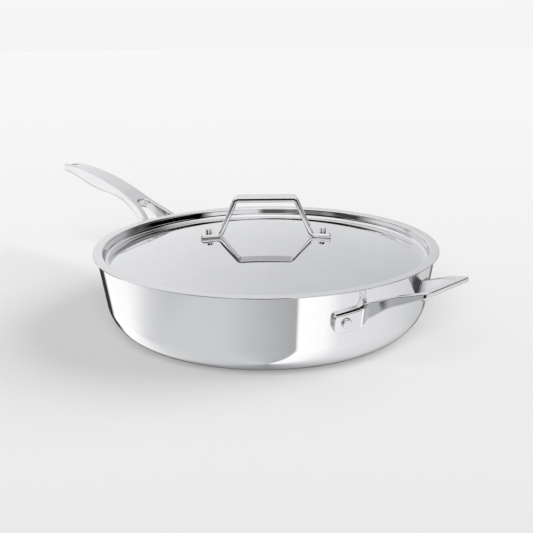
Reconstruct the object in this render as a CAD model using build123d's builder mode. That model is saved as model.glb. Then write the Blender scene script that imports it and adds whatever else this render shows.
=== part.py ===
from build123d import *

import math
import os

# A saute pan with its lid on. The origin is the centre of the flat base, +Z is up,
# +X points to the helper handle and -X to the long handle. Lengths are millimetres.

# Pan wall: three bonded layers, a wall that flares outwards and a large bottom corner
rim_radius = 155.8
pan_height = 72.0
wall_flare = 8.15
corner_radius = 31.0
cladding_thickness = 0.6
core_thickness = 1.8
lining_thickness = 0.6
rim_round = 0.25

# Lid: a flange on the rim, a step down inside the rim, a trough and a crowned panel
lid_overhang = 3.2
lid_thickness = 1.2
lid_step_clearance = 1.6
lid_bend_radius = 0.8
lid_trough_radius = 4.0
lid_trough_depth = 9.7
lid_crown_height = 7.4
lid_edge_round = 0.35

# Lid handle: a bent strap with a flat grip, leaning legs and two riveted feet.
# Its heights are above the lid's flange, and it is turned from the pan's handles.
lid_turn = 45.9
strap_width = 14.0
grip_height = 44.5
grip_thickness = 5.4
grip_half_length = 28.8
grip_outer_radius = 6.5
grip_inner_radius = 2.5
leg_thickness = 4.4
leg_lean = 23.5
foot_height = 9.3
foot_length = 16.3
foot_corner_radius = 3.0
foot_upper_bend_radius = 3.5
foot_lower_bend_radius = 7.0
foot_seat_gap = 0.2
strap_edge_round = 0.8

# Lid rivets: a shank, a standing round head on the foot and a low head under the lid
lid_rivet_inset = 7.2
lid_rivet_radius = 2.0
lid_rivet_head_radius = 3.0
lid_rivet_head_height = 4.1
lid_rivet_head_round = 0.6
lid_rivet_tail_radius = 5.0
lid_rivet_tail_height = 1.8
lid_rivet_tail_round = 0.8

# Rivet fits
rivet_hole_clearance = 0.08
rivet_seat_gap = 0.15

# Wall rivets: a shank through pad and wall, a low head outside and a flat one inside
wall_rivet_radius = 2.6
wall_rivet_head_radius = 4.2
wall_rivet_head_height = 1.9
wall_rivet_head_round = 1.2
wall_rivet_tail_radius = 6.0
wall_rivet_tail_height = 1.8
wall_rivet_tail_round = 1.1

# Pads that hold both handles on the wall, measured from their rivet
pad_thickness = 4.2
pad_seat_gap = 0.1
pad_end_reach = 10.1
pad_end_top = 5.8
pad_end_bottom = -10.3
pad_root_top = 10.2
pad_root_bottom = -7.9
pad_top_corner_radius = 3.0
pad_bottom_corner_radius = 7.5
pad_edge_round = 1.0

# Helper handle: two arms that narrow towards a flat bar, reaches and heights from the rim.
# The root's values are those of the section inside the wall, which the wall cuts off.
helper_reach = 43.6
helper_bar_width = 9.6
helper_bar_half_length = 28.5
helper_bar_top = 5.2
helper_bar_bottom = 1.2
helper_upper_knee_back = 23.6
helper_upper_knee_height = -1.3
helper_lower_knee_back = 29.1
helper_lower_knee_height = -11.4
helper_knee_radius = 50.0
helper_root_reach = -20.8
helper_root_half_width = 42.0
helper_root_top = -16.9
helper_root_bottom = -37.3
helper_root_thickness = 5.2
helper_gap_half_length = 24.0
helper_arm_bow = 3.5
helper_outer_corner_radius = 7.5
helper_inner_corner_radius = 5.0
helper_edge_round = 0.9
helper_rivet_angle = 21.2
helper_rivet_drop = 24.0

# Long handle: a forked root, a slim waist, a deep belly and a tip with a hang hole
handle_reach = 198.7
handle_rise = 38.7
handle_half_width = 10.4
handle_tip_half_width = 8.3
handle_tip_radius = 7.0
handle_root_half_width = 24.5
fork_arm_thickness = 5.6
fork_crotch_radius = 6.0
fork_crotch_share = 0.222
fork_crotch_height = 13.7
fork_slot_lean = 25.0
handle_top_round = 0.7
handle_low_round = 2.0
hang_hole_radius = 4.25
hang_hole_inset = 18.0
handle_rivet_angle = 15.0
handle_rivet_drop = 22.0

# Overrun of every cut past the surface that it opens
overrun = 12.0

# Shares of the long handle's reach, and of its rise, along its upper and lower lines
handle_top_shares = ((-0.08, -0.39), (0.0, -0.13), (0.11, 0.13), (0.22, 0.35), (0.34, 0.565), (0.46, 0.725),
                     (0.58, 0.85), (0.72, 0.945), (0.86, 1.0), (1.0, 0.965))
handle_low_shares = ((-0.08, -1.0), (0.0, -0.73), (0.11, -0.30), (0.22, 0.045), (0.34, 0.29), (0.44, 0.37),
                     (0.58, 0.43), (0.72, 0.545), (0.86, 0.70), (1.0, 0.80))

# Shares of the reach along each side, with the shares of the root's splay and of the taper to the tip
handle_side_shares = ((-0.08, 1.32, 0.0), (0.0, 0.97, 0.0), (0.05, 0.72, 0.0), (0.11, 0.45, 0.0), (0.16, 0.28, 0.0),
                      (0.20, 0.18, 0.0), (0.26, 0.09, 0.0), (0.34, 0.02, 0.0), (0.44, 0.0, 0.0), (0.56, 0.0, 0.06),
                      (0.70, 0.0, 0.45), (0.85, 0.0, 0.95), (1.0, 0.0, 1.0))

flare_tangent = math.tan(math.radians(wall_flare))
flare_cosine = math.cos(math.radians(wall_flare))
flare_sine = math.sin(math.radians(wall_flare))
wall_thickness = cladding_thickness + core_thickness + lining_thickness
corner_centre = (rim_radius - corner_radius * flare_cosine
                 - (pan_height - corner_radius * (1 - flare_sine)) * flare_tangent)
pad_outside = pad_seat_gap + pad_thickness

lid_radius = rim_radius + lid_overhang
flange_top = pan_height + lid_thickness
lid_step_radius = rim_radius - wall_thickness / flare_cosine - lid_step_clearance - lid_thickness
flange_bend_radius = lid_bend_radius + lid_thickness
trough_centre_radius = lid_step_radius - lid_trough_radius
trough_centre_height = flange_top - lid_trough_depth + lid_trough_radius
crown_top = flange_top + lid_crown_height
crown_drop = crown_top - trough_centre_height
dome_radius = ((trough_centre_radius ** 2 + crown_drop ** 2 - lid_trough_radius ** 2)
               / (2 * (lid_trough_radius + crown_drop)))
dome_centre = crown_top - dome_radius
panel_turn = math.degrees(math.atan2(trough_centre_height - dome_centre, trough_centre_radius))
grip_top = flange_top + grip_height
foot_top = flange_top + foot_height
leg_slope = math.tan(math.radians(leg_lean))
leg_foot_reach = grip_half_length + (grip_top - foot_top) * leg_slope
foot_reach = leg_foot_reach + foot_length
lid_rivet_reach = foot_reach - lid_rivet_inset


def wall_radius(height, offset=0.0):
    """Radius at a height of the line that lies an offset outside the outer wall."""
    return rim_radius - (pan_height - height) * flare_tangent + offset / flare_cosine


def dome_height(radius, depth=0.0):
    """Height of the lid's panel at a radius, or of the surface that lies a depth below it."""
    return dome_centre + math.sqrt((dome_radius - depth) ** 2 - radius ** 2)


def upright_plane(angle):
    """Plane that stands on the axis at an angle from +X: local x outwards, local y up."""
    turn = math.radians(angle)
    return Plane(origin=(0, 0, 0), x_dir=(math.cos(turn), math.sin(turn), 0),
                 z_dir=(math.sin(turn), -math.cos(turn), 0))


def rivet_plane(angle, drop):
    """Plane on the outer wall, a drop below the rim: local z out of the wall, local y up it."""
    turn = math.radians(angle)
    height = pan_height - drop
    radius = wall_radius(height)
    return Plane(origin=(radius * math.cos(turn), radius * math.sin(turn), height),
                 x_dir=(-math.sin(turn), math.cos(turn), 0),
                 z_dir=(flare_cosine * math.cos(turn), flare_cosine * math.sin(turn), -flare_sine))


def layer_section(outer, inner):
    """Half section of the bowl between two depths: flat base, corner arc and flared wall."""
    with BuildSketch(Plane.XZ) as section:
        with BuildLine():
            starts = []
            ends = []
            for depth in (outer, inner):
                base = Line((0, depth), (corner_centre, depth))
                bend = CenterArc((corner_centre, corner_radius), corner_radius - depth, -90, 90 - wall_flare)
                wall = Line(bend @ 1, (wall_radius(pan_height, -depth), pan_height))
                starts.append(base @ 0)
                ends.append(wall @ 1)
            Line(starts[0], starts[1])
            Line(ends[0], ends[1])
        make_face()
    return section.sketch


def wall_core_section():
    """Half section of everything inside the seat of the pads, overrun at both ends."""
    low = -overrun
    high = pan_height + overrun
    with BuildSketch(Plane.XZ) as section:
        Polygon((0, low), (wall_radius(low, pad_seat_gap), low), (wall_radius(high, pad_seat_gap), high), (0, high))
    return section.sketch


def pad_band_section():
    """Half section of the band around the wall that the pads are cut from."""
    low = 0
    high = pan_height
    with BuildSketch(Plane.XZ) as section:
        Polygon((wall_radius(low, pad_seat_gap), low), (wall_radius(low, pad_outside), low),
                (wall_radius(high, pad_outside), high), (wall_radius(high, pad_seat_gap), high))
    return section.sketch


def pad_outline(seat, arm_side, arm_reach):
    """Outline of a pad about its rivet: a rounded end, and a root that runs under the arm."""
    with BuildSketch(seat.offset(-overrun)) as outline:
        with BuildLine():
            sides = FilletPolyline((arm_side * arm_reach, pad_root_top), (-arm_side * pad_end_reach, pad_end_top),
                                   (-arm_side * pad_end_reach, pad_end_bottom),
                                   (arm_side * arm_reach, pad_root_bottom),
                                   radius=(pad_top_corner_radius, pad_bottom_corner_radius))
            Line(sides @ 1, sides @ 0)
        make_face()
    return outline.sketch


def build_pads(seat, arm_side, arm_reach):
    """Both pads of a handle: the band cut to the outline about the rivet, and its mirror image."""
    with BuildPart() as pads:
        add(pad_band_section())
        revolve(axis=Axis.Z)
        extrude(pad_outline(seat, arm_side, arm_reach), amount=2 * overrun + pad_thickness, mode=Mode.INTERSECT)
        outer_face = pads.faces().sort_by(Axis(seat.origin, seat.z_dir))[-1]
        fillet(outer_face.edges(), pad_edge_round)
        mirror(about=Plane.XZ)
    return pads.part


def rivet_hole(seat):
    """Section of a wall rivet's hole, laid an overrun inside the outer wall."""
    with BuildSketch(seat.offset(-overrun)) as hole:
        Circle(wall_rivet_radius + rivet_hole_clearance)
    return hole.sketch


def arm_reach(seat_drop, rivet_angle, root_half_width, arm_thickness):
    """Length around the wall from a rivet to the inner side of the arm beside it."""
    radius = wall_radius(pan_height - seat_drop)
    return radius * (math.radians(rivet_angle) - math.asin((root_half_width - arm_thickness) / radius))


def handle_place(share):
    """Place along X at a share of the long handle's reach."""
    return -rim_radius - share * handle_reach


def handle_side(splay_share, taper_share):
    """Half width of the long handle with these shares of the root's splay and of the taper."""
    return (handle_half_width + splay_share * (handle_root_half_width - handle_half_width)
            - taper_share * (handle_half_width - handle_tip_half_width))


helper_seats = {"left": rivet_plane(helper_rivet_angle, helper_rivet_drop),
                "right": rivet_plane(-helper_rivet_angle, helper_rivet_drop)}
handle_seats = {"left": rivet_plane(180 - handle_rivet_angle, handle_rivet_drop),
                "right": rivet_plane(180 + handle_rivet_angle, handle_rivet_drop)}
lid_front = upright_plane(lid_turn)
lid_rivet_centres = {"left": lid_front.from_local_coords((lid_rivet_reach, 0, 0)),
                     "right": lid_front.from_local_coords((-lid_rivet_reach, 0, 0))}
wall_layers = {"outer_cladding": (0.0, cladding_thickness),
               "aluminium_core": (cladding_thickness, cladding_thickness + core_thickness),
               "inner_lining": (cladding_thickness + core_thickness, wall_thickness)}
pieces = []

# Bowl layers, each a closed shell with the shank holes of the wall rivets
for layer_name, (outer_depth, inner_depth) in wall_layers.items():
    with BuildPart() as bowl_layer:
        add(layer_section(outer_depth, inner_depth))
        revolve(axis=Axis.Z)
        rim_edges = bowl_layer.edges().filter_by(GeomType.CIRCLE).group_by(Axis.Z)[-1].sort_by(SortBy.RADIUS)
        if outer_depth == 0:
            fillet(rim_edges[-1], rim_round)
        if inner_depth == wall_thickness:
            fillet(rim_edges[0], rim_round)
        for seat in (*helper_seats.values(), *handle_seats.values()):
            extrude(rivet_hole(seat), amount=2 * overrun, mode=Mode.SUBTRACT)
    bowl_layer.part.label = layer_name
    pieces.append(bowl_layer.part)

# Lid: one pressed sheet whose upper and lower faces follow the same path a thickness apart
with BuildPart() as lid:
    with BuildSketch(Plane.XZ):
        with BuildLine():
            starts = []
            ends = []
            for depth in (0.0, lid_thickness):
                bend = CenterArc((lid_step_radius + flange_bend_radius, flange_top - flange_bend_radius),
                                 flange_bend_radius - depth, 90, 90)
                flange = Line((lid_radius, flange_top - depth), bend @ 0)
                trough = CenterArc((trough_centre_radius, trough_centre_height), lid_trough_radius + depth,
                                   0, panel_turn - 180)
                Line(bend @ 1, trough @ 0)
                panel = CenterArc((0, dome_centre), dome_radius - depth, panel_turn, 90 - panel_turn)
                starts.append(flange @ 0)
                ends.append(panel @ 1)
            Line(starts[0], starts[1])
            Line(ends[0], ends[1])
        make_face()
    revolve(axis=Axis.Z)
    outer_edge = lid.faces().filter_by(GeomType.CYLINDER).sort_by(SortBy.RADIUS)[-1]
    fillet(outer_edge.edges().filter_by(GeomType.CIRCLE), lid_edge_round)
    for centre in lid_rivet_centres.values():
        with BuildSketch(Plane.XY.offset(foot_top - overrun)):
            with Locations(centre):
                Circle(lid_rivet_radius + rivet_hole_clearance)
        extrude(amount=overrun, mode=Mode.SUBTRACT)
lid.part.label = "lid"
pieces.append(lid.part)

# Lid handle: half of its front outline, mirrored and extruded to the strap's width
grip_inner = grip_half_length - leg_thickness / math.cos(math.radians(leg_lean))
heel_height = dome_height(grip_inner + (grip_top - crown_top) * leg_slope) + foot_seat_gap
heel_reach = grip_inner + (grip_top - heel_height) * leg_slope
toe_height = dome_height(foot_reach) + foot_seat_gap
with BuildPart() as lid_handle:
    with BuildSketch(lid_front):
        with BuildLine():
            strap = FilletPolyline((0, grip_top), (grip_half_length, grip_top), (leg_foot_reach, foot_top),
                                   (foot_reach, foot_top), (foot_reach, toe_height), (heel_reach, heel_height),
                                   (grip_inner + grip_thickness * leg_slope, grip_top - grip_thickness),
                                   (0, grip_top - grip_thickness),
                                   radius=(grip_outer_radius, foot_upper_bend_radius, foot_corner_radius, 0,
                                           foot_lower_bend_radius, grip_inner_radius))
            Line(strap @ 1, strap @ 0)
        make_face()
        mirror(about=Plane.YZ)
    extrude(amount=strap_width / 2, both=True)
    strap_faces = lid_handle.faces().sort_by(Axis((0, 0, 0), lid_front.z_dir))
    fillet(strap_faces[0].edges() + strap_faces[-1].edges(), strap_edge_round)
    for centre in lid_rivet_centres.values():
        with BuildSketch(Plane.XY.offset(foot_top - overrun)):
            with Locations(centre):
                Circle(lid_rivet_radius + rivet_hole_clearance)
        extrude(amount=2 * overrun, mode=Mode.SUBTRACT)
lid_handle.part.label = "lid_handle"
pieces.append(lid_handle.part)

# Space above the lid's underside, which shapes the upper face of the low heads below it
with BuildPart() as above_underside:
    with BuildSketch(Plane.XZ):
        with BuildLine():
            underside = CenterArc((0, dome_centre), dome_radius - lid_thickness - rivet_seat_gap,
                                  panel_turn, 90 - panel_turn)
            Polyline(underside @ 1, (0, grip_top), (trough_centre_radius, grip_top), underside @ 0)
        make_face()
    revolve(axis=Axis.Z)

# Lid rivets: a low head under the lid, a shank through lid and foot, a round head on the foot
tail_bottom = dome_height(lid_rivet_reach, lid_thickness) - rivet_seat_gap - lid_rivet_tail_height
for side, centre in lid_rivet_centres.items():
    with BuildPart() as lid_rivet:
        with BuildSketch(Plane.XY.offset(tail_bottom)):
            with Locations(centre):
                Circle(lid_rivet_tail_radius)
        extrude(amount=lid_rivet_tail_height + lid_thickness)
        fillet(lid_rivet.edges().group_by(Axis.Z)[0], lid_rivet_tail_round)
        add(above_underside.part, mode=Mode.SUBTRACT)
        with BuildSketch(Plane.XY.offset(tail_bottom)):
            with Locations(centre):
                Circle(lid_rivet_radius)
        extrude(amount=foot_top + rivet_seat_gap - tail_bottom)
        with BuildSketch(Plane.XY.offset(foot_top + rivet_seat_gap)):
            with Locations(centre):
                Circle(lid_rivet_head_radius)
        extrude(amount=lid_rivet_head_height)
        fillet(lid_rivet.edges().group_by(Axis.Z)[-1], lid_rivet_head_round)
    lid_rivet.part.label = f"lid_handle_rivet_{side}"
    pieces.append(lid_rivet.part)

# Helper handle's loop: its plan with the finger gap, cut to its side outline
helper_tip = rim_radius + helper_reach
helper_root = rim_radius + helper_root_reach
gap_end = helper_tip - helper_bar_width
gap_root_half_width = helper_root_half_width - helper_root_thickness
with BuildPart() as helper_loop:
    with BuildSketch(Plane.XY) as plan:
        with BuildLine():
            SagittaArc((helper_root, helper_root_half_width), (helper_tip, helper_bar_half_length),
                       helper_arm_bow)
            Polyline((helper_tip, helper_bar_half_length), (helper_tip, 0), (gap_end, 0),
                     (gap_end, helper_gap_half_length))
            SagittaArc((helper_root, gap_root_half_width), (gap_end, helper_gap_half_length), helper_arm_bow)
            Line((helper_root, gap_root_half_width), (helper_root, helper_root_half_width))
        make_face()
        fillet(plan.vertices().sort_by_distance((helper_tip, helper_bar_half_length))[0],
               helper_outer_corner_radius)
        fillet(plan.vertices().sort_by_distance((gap_end, helper_gap_half_length))[0], helper_inner_corner_radius)
        mirror(about=Plane.XZ)
    extrude(amount=2 * pan_height)
    with BuildSketch(Plane.XZ.offset(-helper_root_half_width - overrun)):
        with BuildLine():
            upper = FilletPolyline((helper_root, pan_height + helper_root_top),
                                   (helper_tip - helper_upper_knee_back, pan_height + helper_upper_knee_height),
                                   (helper_tip, pan_height + helper_bar_top), radius=helper_knee_radius)
            lower = FilletPolyline((helper_root, pan_height + helper_root_bottom),
                                   (helper_tip - helper_lower_knee_back, pan_height + helper_lower_knee_height),
                                   (helper_tip, pan_height + helper_bar_bottom), radius=helper_knee_radius)
            Line(upper @ 0, lower @ 0)
            Line(upper @ 1, lower @ 1)
        make_face()
    extrude(amount=2 * (helper_root_half_width + overrun), mode=Mode.INTERSECT)
    flanks = helper_loop.edges().filter_by(Axis.Z, reverse=True)
    along = flanks.filter_by(Axis.Y, reverse=True).filter_by_position(Axis.X, helper_root, helper_tip)
    across = flanks.filter_by(Axis.Y)
    ends = across.group_by(Axis.X)[-1] + across.filter_by_position(Axis.X, gap_end, gap_end)
    fillet(along + ends, helper_edge_round)
    with BuildSketch(Plane.XZ):
        add(wall_core_section())
    revolve(axis=Axis.Z, mode=Mode.SUBTRACT)

# Helper handle: the loop joined to two pads that follow the wall, with the rivet holes
helper_pads = build_pads(helper_seats["left"], -1, arm_reach(helper_rivet_drop, helper_rivet_angle,
                                                             helper_root_half_width, helper_root_thickness))
with BuildPart() as helper_handle:
    add(helper_loop.part)
    add(helper_pads)
    for seat in helper_seats.values():
        extrude(rivet_hole(seat), amount=2 * overrun + pad_thickness, mode=Mode.SUBTRACT)
helper_handle.part.label = "helper_handle"
pieces.append(helper_handle.part)

# Long handle's bar: its plan with the fork, cut to its side outline
handle_tip = handle_place(1)
fork_shares = [share for share in handle_side_shares if share[0] < fork_crotch_share]
crotch_half_width = handle_side(fork_shares[-1][1], 0) - fork_arm_thickness
slot_turn = math.radians(fork_slot_lean)
crotch_plane = Plane(origin=(handle_place(fork_crotch_share), 0, pan_height + fork_crotch_height),
                     x_dir=(math.cos(slot_turn), 0, -math.sin(slot_turn)),
                     z_dir=(math.sin(slot_turn), 0, math.cos(slot_turn)))
with BuildPart() as handle_bar:
    with BuildSketch(Plane.XY) as plan:
        with BuildLine():
            outer_side = Spline(*[(handle_place(place), handle_side(splay, taper))
                                  for place, splay, taper in handle_side_shares])
            inner_side = Spline(*[(handle_place(place), handle_side(splay, taper) - fork_arm_thickness)
                                  for place, splay, taper in fork_shares])
            Line(outer_side @ 0, inner_side @ 0)
            Polyline(inner_side @ 1, ((inner_side @ 1).X, 0), (handle_tip, 0), outer_side @ 1)
        make_face()
        fillet(plan.vertices().sort_by_distance((handle_tip, handle_tip_half_width))[0], handle_tip_radius)
        mirror(about=Plane.XZ)
    extrude(amount=2 * pan_height)
    with BuildSketch(Plane.XZ.offset(-handle_root_half_width - overrun)):
        with BuildLine():
            upper = Spline(*[(handle_place(place), pan_height + rise * handle_rise)
                             for place, rise in handle_top_shares])
            lower = Spline(*[(handle_place(place), pan_height + rise * handle_rise)
                             for place, rise in handle_low_shares])
            Line(upper @ 0, lower @ 0)
            Line(upper @ 1, lower @ 1)
        make_face()
    extrude(amount=2 * (handle_root_half_width + overrun), mode=Mode.INTERSECT)
    long_faces = handle_bar.faces().sort_by(lambda face: face.normal_at().Z)
    fillet(long_faces[-1].edges().filter_by_position(Axis.X, handle_tip, handle_place(0)), handle_top_round)
    long_faces = handle_bar.faces().sort_by(lambda face: face.normal_at().Z)
    fillet(long_faces[0].edges().filter_by_position(Axis.X, handle_tip, handle_place(0)), handle_low_round)
    with BuildSketch(crotch_plane) as slot:
        with Locations((fork_crotch_radius, 0)):
            Rectangle(2 * fork_crotch_radius, 2 * crotch_half_width)
        fillet(slot.vertices().group_by(Axis.X)[0], fork_crotch_radius)
    extrude(amount=handle_rise, both=True, mode=Mode.SUBTRACT)
    with BuildSketch(Plane.XZ):
        add(wall_core_section())
    revolve(axis=Axis.Z, mode=Mode.SUBTRACT)

# Long handle: the bar joined to its pads, with the rivet holes and the hang hole
handle_pads = build_pads(handle_seats["left"], 1, arm_reach(handle_rivet_drop, handle_rivet_angle,
                                                            handle_root_half_width, fork_arm_thickness))
with BuildPart() as long_handle:
    add(handle_bar.part)
    add(handle_pads)
    for seat in handle_seats.values():
        extrude(rivet_hole(seat), amount=2 * overrun + pad_thickness, mode=Mode.SUBTRACT)
    with BuildSketch(Plane.XY):
        with Locations((handle_tip + hang_hole_inset, 0)):
            Circle(hang_hole_radius)
    extrude(amount=2 * pan_height, mode=Mode.SUBTRACT)
long_handle.part.label = "long_handle"
pieces.append(long_handle.part)

# Wall rivets: a flat head inside the bowl, a shank and a low round head on the pad
inner_radius = wall_radius(pan_height - helper_rivet_drop, -wall_thickness)
tail_relief = inner_radius - math.sqrt(inner_radius ** 2 - wall_rivet_tail_radius ** 2)
tail_depth = wall_thickness + rivet_seat_gap + tail_relief + wall_rivet_tail_height
for handle_name, seats in (("helper_handle", helper_seats), ("long_handle", handle_seats)):
    for side, seat in seats.items():
        with BuildPart() as wall_rivet:
            with BuildSketch(seat.offset(-tail_depth)):
                Circle(wall_rivet_tail_radius)
            extrude(amount=wall_rivet_tail_height)
            fillet(wall_rivet.edges().group_by(Axis(seat.origin, seat.z_dir))[0], wall_rivet_tail_round)
            with BuildSketch(seat.offset(-tail_depth)):
                Circle(wall_rivet_radius)
            extrude(amount=tail_depth + pad_outside + rivet_seat_gap)
            with BuildSketch(seat.offset(pad_outside + rivet_seat_gap)):
                Circle(wall_rivet_head_radius)
            extrude(amount=wall_rivet_head_height)
            fillet(wall_rivet.edges().group_by(Axis(seat.origin, seat.z_dir))[-1], wall_rivet_head_round)
        wall_rivet.part.label = f"{handle_name}_rivet_{side}"
        pieces.append(wall_rivet.part)

os.makedirs("parts", exist_ok=True)
for piece in pieces:
    export_step(piece, f"parts/{piece.label}.step")
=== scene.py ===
"""A saute pan with its lid, dressed in the frame of its solids: metres, +Z up, base at the origin.

Sizes are millimetres, as in the solids, and each mesh is scaled to metres when it is made.
"""
import abc
import logging
import math
from dataclasses import dataclass, field
from enum import Enum
from typing import Callable, Sequence

import bpy
import numpy as np
from mathutils import Matrix, Vector

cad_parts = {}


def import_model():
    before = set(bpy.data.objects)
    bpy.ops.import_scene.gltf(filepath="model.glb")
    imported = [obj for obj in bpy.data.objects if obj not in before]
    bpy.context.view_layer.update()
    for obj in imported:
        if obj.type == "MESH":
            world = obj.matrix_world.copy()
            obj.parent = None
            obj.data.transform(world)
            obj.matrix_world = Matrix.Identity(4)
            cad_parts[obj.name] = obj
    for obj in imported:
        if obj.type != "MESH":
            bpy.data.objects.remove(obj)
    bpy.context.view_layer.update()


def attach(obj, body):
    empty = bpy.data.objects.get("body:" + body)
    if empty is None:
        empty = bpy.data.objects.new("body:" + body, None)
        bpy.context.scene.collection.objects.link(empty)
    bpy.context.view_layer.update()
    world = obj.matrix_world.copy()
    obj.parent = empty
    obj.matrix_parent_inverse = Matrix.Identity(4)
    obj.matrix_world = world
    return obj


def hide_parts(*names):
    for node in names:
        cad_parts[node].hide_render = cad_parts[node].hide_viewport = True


LOG = logging.getLogger("saute_pan")
MM = 0.001
SAME_POINT = 1e-6
NEAR_PLANE = 1e-5
LEAST_ROUND = 0.05
BEND_COUNT = 18
Array = np.ndarray
HeightLine = Callable[[Array], Array]
Colour = tuple[float, float, float, float]
Socket = bpy.types.NodeSocket


# Curves


def line(start: tuple[float, float], end: tuple[float, float], count: int) -> Array:
    """Straight run whose points crowd towards both ends.

    The share along the run is (1 - cos(pi * k / (count - 1))) / 2.

    Args:
        start: First point.
        end: Last point.
        count: Number of points.

    Returns:
        Points, (count, 2).
    """
    share = (1 - np.cos(np.linspace(0, math.pi, count))) / 2
    return np.asarray(start) + share[:, None] * (np.asarray(end) - np.asarray(start))


def arc(centre: tuple[float, float], radius: float, start: float, end: float, count: int,
        crowded: bool = False) -> Array:
    """Arc with points centre + radius * (cos a, sin a) for a from start to end.

    Args:
        centre: Centre of the circle.
        radius: Radius of the circle.
        start: First angle in degrees.
        end: Last angle in degrees.
        count: Number of points.
        crowded: Whether the points crowd towards both ends, as on a long arc.

    Returns:
        Points, (count, 2).
    """
    share = np.linspace(0, 1, count)
    if crowded:
        share = (1 - np.cos(share * math.pi)) / 2
    angle = np.radians(start + share * (end - start))
    return np.asarray(centre) + radius * np.stack([np.cos(angle), np.sin(angle)], axis=1)


def conic(start: Array, corner: Array, end: Array, count: int) -> Array:
    """Rounded corner: the rational quadratic curve that is a circular arc for equal tangents.

    A point is ((1-u)^2 start + 2u(1-u) w corner + u^2 end) over the sum of the same weights,
    where w is the sine of half the angle at the corner.

    Args:
        start: Where the rounding leaves the first side.
        corner: The sharp corner.
        end: Where the rounding meets the second side.
        count: Number of points.

    Returns:
        Points, (count, 2).
    """
    start, corner, end = (np.asarray(p, dtype=float) for p in (start, corner, end))
    first = (start - corner) / np.linalg.norm(start - corner)
    second = (end - corner) / np.linalg.norm(end - corner)
    weight = math.sin(math.acos(float(np.clip(first @ second, -1, 1))) / 2)
    u = np.linspace(0, 1, count)[:, None]
    parts = ((1 - u) ** 2, 2 * u * (1 - u) * weight, u ** 2)
    return (parts[0] * start + parts[1] * corner + parts[2] * end) / (parts[0] + parts[1] + parts[2])


def joined(*runs: Array) -> Array:
    """Runs in order as one path, each shared end kept once.

    Args:
        *runs: Points of each run, (n, 2).

    Returns:
        Points of the path.
    """
    kept = [runs[0]]
    for run in runs[1:]:
        same = np.linalg.norm(run[0] - kept[-1][-1]) < SAME_POINT
        kept.append(run[1:] if same else run)
    return np.concatenate(kept)


def rounded_runs(corners: list[tuple[float, float]], radii: list[float], counts: list[int]) -> list[Array]:
    """Runs of a polyline whose inner corners are rounded: side, corner, side and so on to the last side.

    The tangent length at a corner is radius / tan(half the angle there).

    Args:
        corners: Points of the polyline.
        radii: One radius for each point between the ends.
        counts: Number of points of each run, sides and corners in order.

    Returns:
        The runs in order.
    """
    points = [np.asarray(p, dtype=float) for p in corners]
    runs = []
    start = points[0]
    for index, radius in enumerate(radii, start=1):
        before = (points[index - 1] - points[index]) / np.linalg.norm(points[index - 1] - points[index])
        after = (points[index + 1] - points[index]) / np.linalg.norm(points[index + 1] - points[index])
        half = math.acos(float(np.clip(before @ after, -1, 1))) / 2
        reach = radius / math.tan(half)
        leave, meet = points[index] + before * reach, points[index] + after * reach
        runs.append(line(tuple(start), tuple(leave), counts[2 * index - 2]))
        runs.append(conic(leave, points[index], meet, counts[2 * index - 1]))
        start = meet
    runs.append(line(tuple(start), tuple(points[-1]), counts[-1]))
    return runs


def smooth_line(places: Array, values: Array) -> HeightLine:
    """Natural cubic spline: second derivatives solve the usual tridiagonal system, zero at both ends.

    Args:
        places: Rising places.
        values: Value at each place.

    Returns:
        Function that gives the spline's value at an array of places.
    """
    gaps = np.diff(places)
    slopes = np.diff(values) / gaps
    size = len(places)
    system = np.zeros((size, size))
    system[0, 0] = system[-1, -1] = 1
    inner = np.arange(1, size - 1)
    system[inner, inner - 1] = gaps[:-1]
    system[inner, inner] = 2 * (gaps[:-1] + gaps[1:])
    system[inner, inner + 1] = gaps[1:]
    right = np.zeros(size)
    right[1:-1] = 6 * np.diff(slopes)
    bend = np.linalg.solve(system, right)

    def value(at: Array) -> Array:
        """Value of the spline at an array of places."""
        span = np.clip(np.searchsorted(places, at) - 1, 0, size - 2)
        left, width = at - places[span], gaps[span]
        return (values[span] + left * (slopes[span] - width * (2 * bend[span] + bend[span + 1]) / 6)
                + left ** 2 * bend[span] / 2 + left ** 3 * (bend[span + 1] - bend[span]) / (6 * width))

    return value


def circles_meet(first: tuple[float, float], first_radius: float,
                 second: tuple[float, float], second_radius: float) -> Array:
    """Upper meeting point of two circles, from the radical line at a = (r1^2 - r2^2 + d^2) / 2d.

    Args:
        first: Centre of the first circle.
        first_radius: Its radius.
        second: Centre of the second circle.
        second_radius: Its radius.

    Returns:
        The meeting point with the larger second coordinate.
    """
    near, far = np.asarray(first, dtype=float), np.asarray(second, dtype=float)
    apart = np.linalg.norm(far - near)
    along = (first_radius ** 2 - second_radius ** 2 + apart ** 2) / (2 * apart)
    aside = math.sqrt(first_radius ** 2 - along ** 2)
    axis = (far - near) / apart
    options = [near + axis * along + sign * aside * np.array([-axis[1], axis[0]]) for sign in (-1, 1)]
    return max(options, key=lambda p: p[1])


def ease(share: Array) -> Array:
    """Smooth step 3s^2 - 2s^3 of a share held between 0 and 1."""
    held = np.clip(share, 0, 1)
    return held * held * (3 - 2 * held)


# Meshes


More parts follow.
